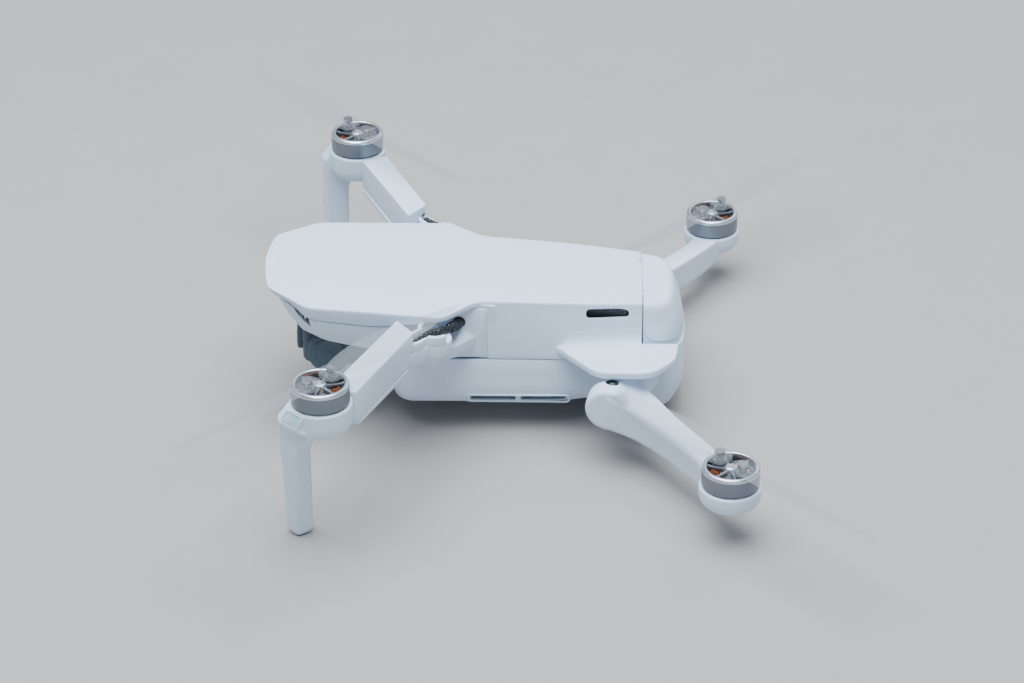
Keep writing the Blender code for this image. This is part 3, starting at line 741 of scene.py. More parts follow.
@dataclass(frozen=True)
class Perforated(Finish):
    """A dark sheet with rows of small holes, whose insides are painted shade."""

    pitch: float = 1.1

    def build(self) -> Graph:
        """Make the holes as dimples painted near-black: painted shade seen through holes that are
        not cut.
        """
        graph = Graph(self.name)
        split = graph.node("ShaderNodeSeparateXYZ", {}, {"Vector": graph.place()})
        turn = TURN / (self.pitch * MM)
        slanted = (split("Y") * (turn * 0.7) + split("Z") * (turn * 0.7)).wave()
        crossing = (split("Y") * (turn * 0.7) - split("Z") * (turn * 0.7)).wave()
        holes = (slanted * crossing).above(0.25, 0.12)
        # painted shade: the holes take a near-black colour for the unlit inside behind the sheet
        shade = graph.mix(holes, colour(*self.base, 2.6), colour(*self.base, 0.2))
        graph.put(graph.shader.inputs["Base Color"], shade)
        graph.put(graph.shader.inputs["Roughness"], 0.45 + holes * 0.4)
        graph.bump(1.0 - holes, 0.8, 0.25)
        return graph


class Look:
    """The finishes of this drone."""

    SHELL = Finish("satin_shell", "shell_white", (0.62, 0.735, 0.88), 0.44, mottle=0.012)
    ARM = Finish("satin_arm", "arm_white", (0.62, 0.735, 0.87), 0.44, mottle=0.015)
    COVER = Finish("satin_panel", "cover_white", (0.615, 0.725, 0.86), 0.45, mottle=0.012)
    MESH = Perforated("vent_mesh", "vent_black", (0.022, 0.026, 0.032), 0.5)
    SLATE = Finish(
        "gimbal_slate", "gimbal_slate", (0.026, 0.040, 0.055), 0.34, coat=0.15, mottle=0.05
    )
    BLACK = Finish("inner_black", "vent_black", (0.012, 0.014, 0.018), 0.55)
    GLASS = Finish(
        "lens_glass", "lens_glass", (0.006, 0.008, 0.014), 0.06, coat=0.6, relief=0.0,
        mottle=0.1, scuffs=0.02,
    )
    WINDOW = Finish(
        "status_window", "led_window", (0.40, 0.55, 0.62), 0.22, coat=0.4, relief=0.004,
        mottle=0.10,
    )
    BRAID = Braid("cable_braid", "cable_black", (0.013, 0.015, 0.019), 0.7)
    STEEL = Finish(
        "turned_steel", "pin_steel", (0.56, 0.57, 0.59), 0.3, 1.0, relief=0.006, scuffs=0.16
    )
    BELL = Finish(
        "bell_side", "motor_bell", (0.17, 0.19, 0.225), 0.4, 0.35, grain=0.5, relief=0.008,
        mottle=0.06, scuffs=0.1, stretch=(1.0, 1.0, 9.0),
    )
    RIM = Finish(
        "bell_rim", "motor_bell", (0.62, 0.66, 0.71), 0.3, 0.9, relief=0.005, scuffs=0.14
    )
    COPPER = Finish(
        "enamelled_copper", "copper_winding", (0.56, 0.26, 0.15), 0.32, 0.85, coat=0.5,
        mottle=0.16,
    )
    BLADE = Finish(
        "smoked_blade", "blade_smoke", (0.30, 0.33, 0.36), 0.3, coat=0.3, alpha=0.2
    )
    BOARD = Finish("board_lacquer", "board_green", (0.015, 0.075, 0.045), 0.35, coat=0.5)
    ALLOY = Finish(
        "sink_alloy", "heat_sink_alloy", (0.5, 0.52, 0.55), 0.38, 0.9, stretch=(8.0, 1.0, 1.0)
    )
    BATTERY = Finish("battery_case", "battery_grey", (0.11, 0.118, 0.128), 0.5, mottle=0.05)
    BUTTON = Finish("button_cap", "button_grey", (0.45, 0.48, 0.52), 0.4)


def dress(obj: bpy.types.Object, finish: Finish, angle: float = 38.0) -> bpy.types.Object:
    """Give a piece one finish and smooth shading broken at sharp edges."""
    obj.data.materials.clear()
    obj.data.materials.append(finish.material())
    Bench.pick(obj)
    bpy.ops.object.shade_smooth_by_angle(angle=math.radians(angle))
    return obj


def fit(
    obj: bpy.types.Object, body: str, replaces: Sequence[str] = ()
) -> bpy.types.Object:
    """Parent a finished piece to its body's empty, and hide the nodes it stands for."""
    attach(obj, body)
    if replaces:
        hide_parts(*replaces)
    log.info("%s rides on %s", obj.name, body)
    return obj


def both_sides(
    obj: bpy.types.Object, name: str, body: str, finish: Finish, replaces: Sequence[str] = ()
) -> None:
    """Fit a left-hand piece and its mirror copy.

    Args:
        obj: The left-hand piece.
        name: Name without its side.
        body: Body for both, with {side} where it differs.
        finish: The finish of both.
        replaces: Nodes with {side} where they differ.
    """
    dress(obj, finish)
    copy = Bench.other_side(obj, f"{name}_right")
    obj.name = f"{name}_left"
    for side, piece in ((Side.LEFT, obj), (Side.RIGHT, copy)):
        nodes = [node.format(side=side.word) for node in replaces]
        fit(piece, body.format(side=side.word), nodes)


# ---------------------------------------------------------------- body


@dataclass
class Body:
    """Upper shell, nose, belly, flank panels and tail door.

    A rim station holds: y of the middle line, x, y and z of the crease, z of the middle line,
    and x, y and z of the skirt's edge.
    """

    seam_z: float = 27.5
    door_y: float = 36.3
    rim: list[Point] = field(
        default_factory=lambda: [
            (-87.5, 0.0, -87.5, 51.3, 51.3, 0.0, -86.3, 49.4),
            (-86.0, 9.5, -86.9, 51.05, 51.3, 9.2, -85.7, 49.1),
            (-82.0, 18.3, -85.5, 50.4, 51.4, 17.7, -84.3, 48.0),
            (-77.5, 23.9, -78.9, 49.8, 51.45, 23.1, -77.9, 47.6),
            (-72.0, 29.5, -72.3, 49.2, 51.5, 28.6, -71.6, 44.4),
            (-51.0, 31.0, -51.0, 48.5, 51.3, 30.2, -50.0, 42.8),
            (-28.0, 32.8, -28.0, 47.6, 50.6, 32.3, -28.2, 45.8),
            (-18.0, 23.3, -18.0, 48.3, 50.1, 23.4, -18.0, 46.6),
            (-13.7, 22.3, -13.7, 48.1, 49.9, 22.5, -13.7, 46.4),
            (9.5, 21.0, 9.5, 46.9, 48.5, 21.2, 9.5, 45.2),
            (24.0, 19.7, 24.0, 45.9, 47.4, 19.9, 24.0, 44.2),
            (36.3, 17.8, 36.3, 45.1, 46.5, 18.1, 36.3, 43.6),
        ]
    )
    rim_reach: tuple[float, ...] = (0, 5, 2.6, 2, 3, 5, 2.6, 3.2, 0, 5, 5, 0)
    flank: tuple[Point, ...] = ((-13.7, 23.6), (9.5, 23.7), (24.0, 20.9), (36.3, 20.3))
    ledge: tuple[Point, ...] = (
        (21.8, 6.6), (24.6, 9.4), (40.0, 21.6), (40.0, 39.2), (31.0, 47.2), (20.9, 48.3),
        (20.75, 36.7), (19.8, 35.8), (20.2, 24.0),
    )
    slit: tuple[Point, ...] = (
        (-76.7, 48.6), (-73.6, 48.6), (-71.8, 46.2), (-70.9, 39.8), (-73.4, 41.2), (-75.7, 43.6),
        (-76.8, 45.6),
    )
    ledge_low: float = 29.6
    ledge_top: float = 32.2
    top_columns: int = 16

    def flank_x(self, y: float) -> float:
        """X of the flank at the seam."""
        return float(np.interp(y, [p[0] for p in self.flank], [p[1] for p in self.flank]))

    def flank_at(self, y: float, z: float) -> float:
        """X of the flank's skin at a height."""
        skirt = [np.interp(y, [p[6] for p in self.rim[7:]], [p[k] for p in self.rim[7:]])
                 for k in (5, 7)]
        t = (skirt[1] - z) / (skirt[1] - self.seam_z)
        return float(skirt[0] + (self.flank_x(y) - skirt[0]) * t + 0.35 * math.sin(math.pi * t))

    def wall(self, obj: bpy.types.Object, rim: float = 0.22) -> bpy.types.Object:
        """Mirror a half skin, give it its wall and round its rims."""
        Bench.edit(
            obj,
            lambda: bpy.ops.mesh.remove_doubles(threshold=0.02 * MM),
            lambda: bpy.ops.mesh.normals_make_consistent(inside=False),
        )
        Bench.modify(
            obj, "MIRROR", use_axis=(True, False, False), use_clip=True, merge_threshold=0.00003
        )
        Bench.edit(
            obj,
            lambda: bpy.ops.mesh.dissolve_degenerate(threshold=0.01 * MM),
            lambda: bpy.ops.mesh.normals_make_consistent(inside=False),
        )
        self.outwards(obj)
        Bench.modify(obj, "SOLIDIFY", thickness=WALL * MM, offset=-1.0, use_even_offset=True)
        return Bench.soften(obj, rim, 2, 55.0) if rim else obj

    @staticmethod
    def finish(shell: bpy.types.Object, body: str, node: str) -> None:
        """Merge a shell's doubles, round its rims and fit it in place of a node."""
        Bench.soften(Bench.tidy(shell, SEAM_MERGE), 0.2, 2, RIM_ANGLE)
        fit(dress(shell, Look.SHELL, SHELL_ANGLE), body, [node])

    @staticmethod
    def sideways(
        name: str, outline: np.ndarray, sign: int, near: float, far: float
    ) -> bpy.types.Object:
        """A slab along X on one side of the body, to cut through its wall.

        Args:
            name: Name of the cutter.
            outline: Its corners, as y and z.
            sign: 1 for the left side, -1 for the right.
            near: Its end nearer the middle, in X.
            far: Its outer end.

        Returns:
            The cutter.
        """
        low, high = sorted((sign * near, sign * far))
        return Bench.slab(name, outline.tolist(), low, high, axis=0)

    @staticmethod
    def outwards(obj: bpy.types.Object) -> None:
        """Turn an open skin's faces away from the middle of the body."""
        inside = Vector((0.0, -15.0, 30.0)) * MM
        total = sum((p.center - inside).dot(p.normal) * p.area for p in obj.data.polygons)
        if total < 0.0:
            Bench.edit(obj, lambda: bpy.ops.mesh.flip_normals())

    def upper(self) -> None:
        """Top skin with its crease, skirt, flanks, shoulder ledges and side slots."""
        place = slice(1, 4)
        stations = refined(rounded(self.rim, self.rim_reach, 7, place), 2.6, place)
        rows, low = [], []
        for mid_y, x, y, z, mid_z, sx, sy, sz in stations:
            row = []
            for t in np.linspace(0.0, 0.95, self.top_columns):
                row.append((x * t, mid_y + (y - mid_y) * t**1.5, mid_z + (z - mid_z) * t * t))
            corner = rounded([row[-1], (x, y, z), (sx, sy, sz)], (0, 1.3, 0), 5)
            rows.append(row + [tuple(point) for point in corner[1:]])
            low.append((sx, sy, sz))
        skin = Bench.grid("upper_body", rows)
        flank_rows = []
        for sx, sy, sz in low:
            if sy < self.flank[0][0] - 0.01:
                continue
            foot = self.flank_x(sy)
            column = []
            for t in np.linspace(0.0, 1.0, 12):
                out = sx + (foot - sx) * t + 0.35 * math.sin(math.pi * t)
                column.append((out, sy, sz + (self.seam_z - sz) * t))
            flank_rows.append(column)
        flank = Bench.grid("flank", flank_rows)
        shell = self.wall(Bench.together("upper_body", [skin, flank]), 0.0)
        slots = []
        for sign in (1, -1):
            slots.append(self.slot_cutter(sign))
            shell = Bench.combine(shell, *self.shoulder(sign))
        Bench.combine(shell, *slots, how="DIFFERENCE")
        self.finish(shell, "airframe", "upper_shell")

    def slot_cutter(self, sign: int) -> bpy.types.Object:
        """The long side slot, with round ends and a slanted rear."""
        outline = rounded(
            [(18.0, 40.9), (32.0, 40.7), (32.0, 43.3), (29.0, 44.2), (18.0, 44.5)],
            (1.5, 1.2, 1.2, 2.0, 1.5), 5, closed=True,
        )
        return self.sideways("slot", outline, sign, 15.2, 26.0)

    def shoulder(self, sign: int) -> list[bpy.types.Object]:
        """The ledge over the rear hinge and the fillet that runs into the flank."""
        outline = rounded(self.ledge, (0, 1.5, 4.5, 4.5, 3.5, 0, 0.4, 0, 0), 6, closed=True)
        flat = [(x * sign, y) for x, y in outline]
        plate = Bench.slab("ledge", flat, self.ledge_low, self.ledge_top)
        Bench.soften(plate, 0.62, 3, 50.0)
        rings = []
        for y in np.linspace(8.6, 36.1, 30):
            x = self.flank_at(y, self.ledge_top + 4.0) + 0.02
            size = min(4.6, 0.3 + (y - 8.6) * 1.1)
            arc = []
            for k in range(9):
                a = math.pi / 2 * k / 8
                rise = size * (1 - math.sin(a))
                arc.append((x + size * (1 - math.cos(a)), self.ledge_top + rise))
            ring = [(x - 0.8, self.ledge_top + size), *arc[:-1]]
            ring += [(x + size, self.ledge_top - 0.3), (x - 0.8, self.ledge_top - 0.3)]
            rings.append([(px * sign, y, pz) for px, pz in ring])
        return [plate, Bench.loft("fillet", rings)]

    def nose(self) -> None:
        """Lower half of the nose with a slit at each front corner."""
        top = [(0, -84.9, 48.8), (9, -84.4, 48.5), (16.9, -83.0, 47.4), (28.2, -71.4, 43.8)]
        top += [(29.8, -50.3, 42.2), (29.8, -41.2, 42.6)]
        low = [(0, -76.5, 35), (9, -76.2, 35), (18, -75.3, 35), (23.6, -66.5, 33.8)]
        low += [(25.6, -53, 32), (24.8, -42, 31.3)]
        joined = [tuple(a) + tuple(b) for a, b in zip(top, low)]
        path = refined(rounded(joined, (0, 4, 3, 3, 4, 0), 6, slice(0, 3)), 2.0, slice(0, 3))
        rows = []
        for station in path:
            high, foot = station[:3], station[3:]
            bulge = np.array((0.5, -0.5, 0.0)) * min(1.0, high[0] / 10.0)
            rows.append([
                tuple(high + (foot - high) * t + bulge * math.sin(math.pi * t))
                for t in np.linspace(0.0, 1.0, 12)
            ])
        shell = self.wall(Bench.grid("nose_lower", rows), 0.0)
        for sign in (1, -1):
            outline = rounded(self.slit, (0.6, 0.6, 1.5, 0.3, 1.5, 1.2, 1.0), 5, closed=True)
            slit = self.sideways("slit", outline, sign, 14.0, 33.0)
            Bench.combine(shell, slit, how="DIFFERENCE")
        self.finish(shell, "airframe", "nose_shell")

    def belly(self) -> None:
        """Lower hull with vent slots in a raised frame, tail and rear feet."""
        plan = [(0, -44.4), (19.5, -44.4), (23.8, -40.4), (23.6, 9), (20.4, 20), (20.3, 36.7)]
        plan += [(20.3, 37.5), (20.3, 45), (14.5, 50.0), (0, 50.9)]
        top_z = [27.1] * 6 + [29.3] * 4
        foot = [(0, -44.2), (18.6, -44.2), (22.4, -40.2), (21.7, 9), (18.8, 20), (18.0, 27)]
        foot += [(18.0, 34), (18.0, 42), (12.5, 46.6), (0, 47.6)]
        foot_z = [9.6] * 5 + [5.0] * 5
        joined = [(*a, h, *b, f) for a, h, b, f in zip(plan, top_z, foot, foot_z)]
        reach = (0, 2.2, 2.2, 5, 4, 0, 0, 3, 4, 0)
        path = refined(rounded(joined, reach, 6, slice(0, 2)), 2.2, slice(0, 2))
        rows = []
        for station in path:
            high, low = station[:3], station[3:]
            side = np.array((high[0] * 1.02, high[1] - (1.0 if high[1] < -41 else -0.2), 14.0))
            turn = rounded([side, low, (low[0] * 0.55, low[1], low[2])], (0, 2.6, 0), 5)
            upper = [high + (side - high) * t for t in (0.0, 0.35, 0.7)]
            middle = [np.array((low[0] * t, low[1], low[2])) for t in (0.25, 0.0)]
            rows.append([tuple(point) for point in [*upper, *turn, *middle]])
        shell = self.wall(Bench.grid("belly", rows), 0.0)
        cutters = []
        for sign in (1, -1):
            for start, end in ((-19.8, -4.7), (-3.3, 11.7)):
                outline = [(start, 11.2), (end, 11.2), (end, 13.3), (start, 13.3)]
                smooth = rounded(outline, 0.9, 5, closed=True)
                cutters.append(self.sideways("vent", smooth, sign, 19.5, 26.0))
        rim = rounded([(-10.3, -36.3), (10.3, -36.3), (10.3, -26.2), (-10.3, -26.2)], 1.5, 5,
                      closed=True)
        cutters.append(Bench.slab("eye", rim.tolist(), 5.0, 14.0))
        cutters.append(Bench.rod("button_hole", (0, 17.5, 5), (0, 17.5, 14), 3.9))
        mouth = rounded([(-4.8, 17.9), (4.8, 17.9), (4.8, 22.1), (-4.8, 22.1)], 1.3, 5,
                        closed=True)
        cutters.append(Bench.slab("mouth", mouth.tolist(), 44.0, 55.0, axis=1))
        Bench.combine(shell, *cutters, how="DIFFERENCE")
        parts = []
        for sign in (1, -1):
            parts.append(Bench.soften(
                Bench.rod("foot", (sign * 12.5, 33, 5.4), (sign * 12.5, 33, 0.0), 4.0, 3.2), 0.7, 3
            ))
            parts.append(self.boss(sign))
        Bench.combine(shell, *parts)
        self.finish(shell, "airframe", "belly_shell")
        both_sides(self.vent_frame(), "vent_frame", "airframe", Look.SHELL)
        self.belly_screws()

    def boss(self, sign: int) -> bpy.types.Object:
        """Hub that carries a rear hinge pin."""
        hinge, way = RearArm.hinge_line(sign)
        tip = Bench.rod("boss", hinge - way * 23.5, hinge - way * 9.4, 5.2)
        Bench.soften(tip, 0.5, 2)
        hole = Bench.rod("hole", hinge - way * 19.0, hinge - way * 5.0, 2.25)
        return Bench.combine(tip, hole, how="DIFFERENCE")

    def vent_frame(self) -> bpy.types.Object:
        """Raised lip round the two vent slots, following the slope of the hull."""
        corners = [(-20.9, 10.5), (12.8, 10.5), (12.8, 14.0), (-20.9, 14.0)]
        loop = rounded(corners, 1.4, 6, closed=True)
        loop = refined(np.vstack([loop, loop[:1]]), 2.5)[:-1]
        path = [(21.75 + (z - 9.6) * 0.52, y, z) for y, z in loop]
        lip = Bench.tube("vent_frame", path, 0.34, 8, closed=True)
        post_at = [(21.75 + (z - 9.6) * 0.52, -4.0, z) for z in (10.6, 12.2, 13.9)]
        return Bench.together("vent_frame", [lip, Bench.tube("divider", post_at, 0.32, 8)])

    def belly_screws(self) -> None:
        """Small sunk screws in the flat underside."""
        profile = [(0, -0.28), (0.5, -0.28), (0.62, -0.05), (1.45, -0.1), (1.6, 0.3), (0, 0.3)]
        places = [(16.5, -21.0), (-16.5, -21.0), (16.0, 7.0), (-16.0, 7.0)]
        heads = [Bench.turned("head", profile, (x, y, 9.5), 24) for x, y in places]
        screws = dress(Bench.together("belly_screws", heads), Look.STEEL)
        fit(screws, "airframe")

    def hinge_panels(self) -> None:
        """Flank panel with a round-cornered seam, the hinge lug and the cable's pocket."""
        outline = rounded(
            [(-40.4, 27.9), (-14.1, 27.9), (-14.1, 45.7), (-24.5, 46.0), (-29.5, 44.6),
             (-40.4, 42.2)],
            (0.8, 1.3, 1.6, 2.0, 1.0, 0.4), 6, closed=True,
        )
        wall = Bench.slab("hinge_panel", outline.tolist(), 22.3, 23.55, axis=0)
        Bench.soften(wall, 0.22, 2, 60.0)
        outer = [(22.8, -39.0), (30.0, -39.0), (36.0, -36.4), (38.8, -31.5), (37.4, -28.2),
                 (33.2, -26.4), (27.2, -20.8), (22.8, -17.0)]
        foot = Bench.loft("lug", [
            [(22.8 + (x - 22.8) * reach, y, z)
             for x, y in rounded(outer, (0, 2, 2, 3, 2, 2, 4, 0), 5, closed=True)]
            for reach, z in ((0.22, 28.4), (0.62, 30.4), (0.97, 32.6), (1.0, 33.2), (1.0, 35.9))
        ])
        Bench.soften(foot, 0.5, 3, 50.0)
        rings = []
        for y, out, high in ((-38.4, 23.9, 36.6), (-34.0, 26.6, 38.6), (-28.5, 27.7, 40.2),
                             (-25.5, 28.0, 40.2), (-23.4, 28.6, 39.4), (-20.4, 26.2, 38.2),
                             (-18.2, 23.2, 36.2)):
            rings.append([(22.9, y, high), (22.9, y, 34.6), (out, y, 34.6), (out, y, 35.8),
                          (23.3, y, high - 0.1)])
        web = Bench.loft("web", rings)
        Bench.combine(wall, foot, web)
        pin = FrontArm.hinge
        bore = Bench.rod("bore", (pin[0], pin[1], 32.9), (pin[0], pin[1], 50.0), 2.25)
        cable = Bench.rod("exit", (20.0, -23.1, 41.0), (26.0, -23.1, 41.0), 2.1)
        Bench.combine(wall, bore, cable, how="DIFFERENCE")
        Bench.tidy(wall, SEAM_MERGE)
        both_sides(wall, "flank_panel", "airframe", Look.COVER, ["hinge_panel_{side}"])
        groove = Bench.slab(
            "groove", [(-16.5, 27.6), (-11.5, 27.6), (-11.5, 46.6), (-16.5, 47.2), (-30.0, 46.6),
                       (-30.0, 43.8), (-16.5, 44.0)], 21.6, 23.1, axis=0,
        )
        both_sides(groove, "panel_groove", "airframe", Look.SHELL)
        collar = Bench.turned(
            "exit_collar", [(1.62, -0.9), (2.0, -0.9), (2.0, 0.35), (1.8, 0.5), (1.62, 0.35)],
            (0.0, 0.0, 0.0), 32,
        )
        Bench.edit(
            collar,
            lambda: bpy.ops.transform.rotate(
                value=-math.pi / 2, orient_axis="Y", center_override=ORIGIN
            ),
            lambda: bpy.ops.transform.translate(value=Vector((23.5, -23.1, 41.0)) * MM),
        )
        both_sides(collar, "cable_collar", "airframe", Look.BLACK)

    def door_rows(self, inset: float, corner: float) -> list[list[Point]]:
        """Rows of points down the tail cap, from its side seam to the middle.

        Args:
            inset: How far inside the cap's skin the rows lie.
            corner: Radius of the lower front corner.

        Returns:
            One row for each place along the cap's outline.
        """
        seam = self.door_y + 0.4
        low = [(20.1, seam, 32.5), (20.0, 43.6, 32.5), (16.4, 48.4, 31.6), (8.0, 50.2, 30.6)]
        low += [(0, 50.8, 30.6)]
        middle = [(18.9, seam, 38.0), (18.3, 43.4, 38.0), (14.8, 47.6, 38.0), (7, 48.9, 38.0)]
        middle += [(0, 49.1, 38.0)]
        high = [(17.8, seam, 45.1), (17.0, 42.4, 44.7), (13.2, 45.3, 44.7), (6.6, 46.3, 45.1)]
        high += [(0, 46.5, 45.4)]
        joined = [(*a, *b, *c) for a, b, c in zip(low, middle, high)]
        path = refined(rounded(joined, (0, 3, 3, 3, 0), 6, slice(3, 6)), 1.0, slice(3, 6))
        rows = []
        for station in path:
            a, b, c = (station[k : k + 3].copy() for k in (0, 3, 6))
            for point in (a, b, c):
                point[0] = max(0.0, point[0] - inset) if point[0] > 0 else 0.0
                point[1] = max(seam, point[1] - inset)
                point[2] -= inset * 0.2
            into = max(0.0, 1.0 - (a[1] - seam) / corner)
            lift = corner * (1.0 - math.sqrt(1.0 - into * into))
            a += (b - a) * (lift / (b[2] - a[2]))
            inner = np.array((c[0] * 0.6, max(seam, c[1] - 7.0), c[2] + 0.75))
            centre = np.array((0.0, seam, 46.5 - inset))
            over = centre + (inner - centre) * np.array((1.0, 0.35, 0.6))
            line = rounded([a, b, c, inner, over], (0, 2.5, 2.6, 2.0, 0), 6)
            rows.append([tuple(point) for point in line] + [tuple(centre)])
        return rows

    def door(self) -> None:
        """Tail cap with a scooped flank, and the rabbet that it closes on."""
        shell = self.wall(Bench.grid("tail_door", self.door_rows(0.0, 4.5)), 0.0)
        self.finish(shell, "battery_door", "battery_door")
        strips = []
        rows = self.door_rows(0.35, 0.1)
        edge = [[np.array(a) + (np.array(b) - np.array(a)) * t for t in (-0.45, 0.0, 0.5, 1.0)]
                for a, b in ((row[0], row[3]) for row in rows)]
        strips.append(Bench.grid("rabbet", edge[:8]))
        lips = [[e[0], e[1], e[1] + (e[2] - e[1]) * 0.25] for e in edge[7:]]
        strips.append(Bench.grid("sill", lips))
        for strip in strips:
            Bench.edit(strip, lambda: bpy.ops.mesh.normals_make_consistent(inside=False))
        rabbet = self.wall(Bench.together("door_rabbet", strips), 0.0)
        fit(dress(rabbet, Look.SHELL, SHELL_ANGLE), "airframe")

    def build(self) -> None:
        """Make every shell."""
        self.upper()
        self.nose()
        self.belly()
        self.hinge_panels()
        self.door()


# ---------------------------------------------------------------- arms


@dataclass
class FrontArm:
    """Front arm with its landing leg, status window, channel walls and cable."""

    hinge: ClassVar[tuple[float, float]] = (34.0, -30.5)
    motor: tuple[float, float, float] = (86.4, -63.0, 48.6)
    mount_r: float = 9.85
    cell: float = 0.3

    def leg(self) -> bpy.types.Object:
        """The leg, lofted from its rounded foot up into the motor mount."""
        shape = [(88.0, -76.2), (91.4, -75.6), (96.7, -70.0), (92.4, -66.0), (86.0, -66.3),
                 (84.4, -74.6)]
        lower = [(87.3, -76.2), (89.6, -74.8), (93.6, -70.6), (90.0, -66.6), (86.0, -66.8),
                 (84.2, -74.4)]
        tip = [(84.0, -75.4), (85.8, -74.6), (88.6, -71.4), (85.4, -66.9), (82.2, -67.0),
               (81.2, -73.8)]
        rim = [(87.6, -73.4), (90.4, -72.9), (95.7, -67.4), (93.2, -65.2), (86.0, -65.8),
               (85.6, -72.4)]
        sole = np.mean(tip, axis=0)
        tip_at, low_at, shape_at = np.array(tip), np.array(lower), np.array(shape)
        levels = [(sole + (tip_at - sole) * size, z)
                  for size, z in ((0.62, 0.0), (0.82, 0.4), (0.94, 1.3), (1.0, 3.0))]
        for t in np.linspace(0.12, 1.0, 10):
            levels.append((tip_at * (1 - t) + low_at * t, 3.0 + 33.0 * t))
        levels += [(low_at * 0.7 + shape_at * 0.3, 38.5), (low_at * 0.4 + shape_at * 0.6, 41.0)]
        levels += [(shape_at, 43.6), (shape_at, 44.6), (np.array(rim), self.motor[2] - 0.25)]
        rings = []
        for ring, z in levels:
            flare = 5.5 * (min(max((z - 31.0) / 9.5, 0.0), 1.0) ** 2.4)
            spread = [(x, y + (flare if y > -70.8 and z < 43.0 else 0.0)) for x, y in ring.tolist()]
            rings.append([(x, y, z) for x, y in rounded(spread, 0.8, 3, closed=True)])
        return Bench.loft("leg", rings)

    def mount(self) -> bpy.types.Object:
        """The round motor seat."""
        r = self.mount_r
        profile = rounded(
            [(0, 0), (r, 0), (r, -6.6), (r - 1.8, -9.4), (0, -10.4)], (0, 0.4, 2.0, 1.5, 0), 5
        )
        return Bench.turned("mount", profile.tolist(), self.motor, 72)

    def arm(self) -> bpy.types.Object:
        """Beam, hinge lobe, mount and leg as one moulding."""
        end = Bench.combine(self.mount(), self.leg())
        Bench.melt(end, self.cell, 3)
        corners = [(35.8, -42.4), (78.0, -61.2), (81.0, -52.6), (43.9, -36.7)]
        beam = Bench.slab("beam", rounded(corners, 0.9, 3, closed=True).tolist(), 38.0, 48.6)
        Bench.soften(beam, 0.45, 3, 50.0)
        link_at = [(30.2, -34.4), (33.4, -43.0), (40.2, -45.2), (46.0, -38.2), (39.3, -31.9)]
        link = Bench.slab("link", rounded(link_at, 1.2, 3, closed=True).tolist(), 36.3, 41.3)
        x, y = self.hinge
        lobe = Bench.rod("lobe", (x, y, 36.3), (x, y, 41.3), 5.5, sides=64)
        for piece in (link, lobe):
            Bench.soften(piece, 0.5, 3, 60.0)
        slot = Bench.rod("slot", (37.5, -33.2, 43.9), (48.5, -42.5, 43.9), 1.95)
        notch = Bench.block("notch", (43.6, -39.2, 39.8), (46.4, -36.3, 42.6))
        Bench.combine(beam, slot, notch, how="DIFFERENCE")
        arm = Bench.combine(end, beam, link, lobe, *self.channel())
        bore = Bench.rod("bore", (x, y, 30), (x, y, 50), 2.25)
        return Bench.combine(arm, bore, self.pane(0.22, 0.55, 1.0), how="DIFFERENCE")

    def channel(self) -> list[bpy.types.Object]:
        """Curved walls on the lobe's rim that guide the cable into the arm."""
        centre = np.array(self.hinge)

        def arc(radius: float, start: float, end: float, count: int) -> list[Point]:
            """Points round the hinge, between two angles in degrees."""
            return [tuple(centre + radius * np.array((math.cos(a), math.sin(a))))
                    for a in np.radians(np.linspace(start, end, count))]

        near = [(45.2, -37.9), (42.2, -34.6), *arc(5.55, -22, 48, 9), *arc(4.1, 44, -26, 9)]
        near += [(41.0, -35.6), (43.8, -38.6)]
        far = [(44.0, -40.5), (38.6, -38.9), *arc(5.5, -76, -128, 7), *arc(4.1, -124, -70, 7)]
        far += [(39.2, -37.6), (43.4, -38.9)]
        low = [*arc(5.5, -126, -205, 9), *arc(4.3, -201, -126, 9)]
        walls = [Bench.slab("near_wall", near, 40.8, 44.3), Bench.slab("far_wall", far, 40.8, 45.4),
                 Bench.slab("low_wall", low, 40.8, 43.7)]
        return [Bench.soften(wall, 0.4, 3, 60.0) for wall in walls]

    @staticmethod
    def pane(grow: float, out: float, into: float) -> bpy.types.Object:
        """A block on the sloping shoulder between the motor's rim and the leg.

        Args:
            grow: How much wider than the window it is.
            out: How far it stands out of the shoulder.
            into: How far it goes in.

        Returns:
            The block, with rounded corners.
        """
        corners = np.array([(90.9, -72.6, 47.6), (95.1, -68.2, 47.6), (95.9, -70.2, 45.0),
                            (91.6, -74.8, 45.0)])
        middle = corners.mean(axis=0)
        normal = np.cross(corners[1] - corners[0], corners[3] - corners[0])
        normal /= np.linalg.norm(normal)
        if normal[0] < 0.0:
            normal = -normal
        grown = [c + (c - middle) / np.linalg.norm(c - middle) * grow for c in corners]
        loop = rounded([tuple(c) for c in grown], 0.7, 4, closed=True)
        return Bench.loft("pane", [loop - normal * into, loop + normal * out])

    def window(self) -> bpy.types.Object:
        """Status window, a little below the shoulder round it."""
        return Bench.soften(self.pane(0.12, 0.12, 0.8), 0.2, 3, 50.0)

    def build(self) -> None:
        """Make both front arms."""
        body = "front_arm_{side}"
        both_sides(self.arm(), "front_arm_moulding", body, Look.ARM, ["arm_front_{side}"])
        both_sides(self.window(), "status_window", body, Look.WINDOW, ["led_window_{side}"])
        lip = Bench.slab(
            "arm_cover", rounded(
                [(47.0, -48.1), (76.6, -60.9), (79.6, -52.2), (47.4, -38.0)], 1.0, 4, closed=True
            ).tolist(), 35.95, 37.7,
        )
        both_sides(
            Bench.soften(lip, 0.4, 3), "arm_cover_plate", body, Look.COVER,
            ["arm_cover_front_{side}"],
        )


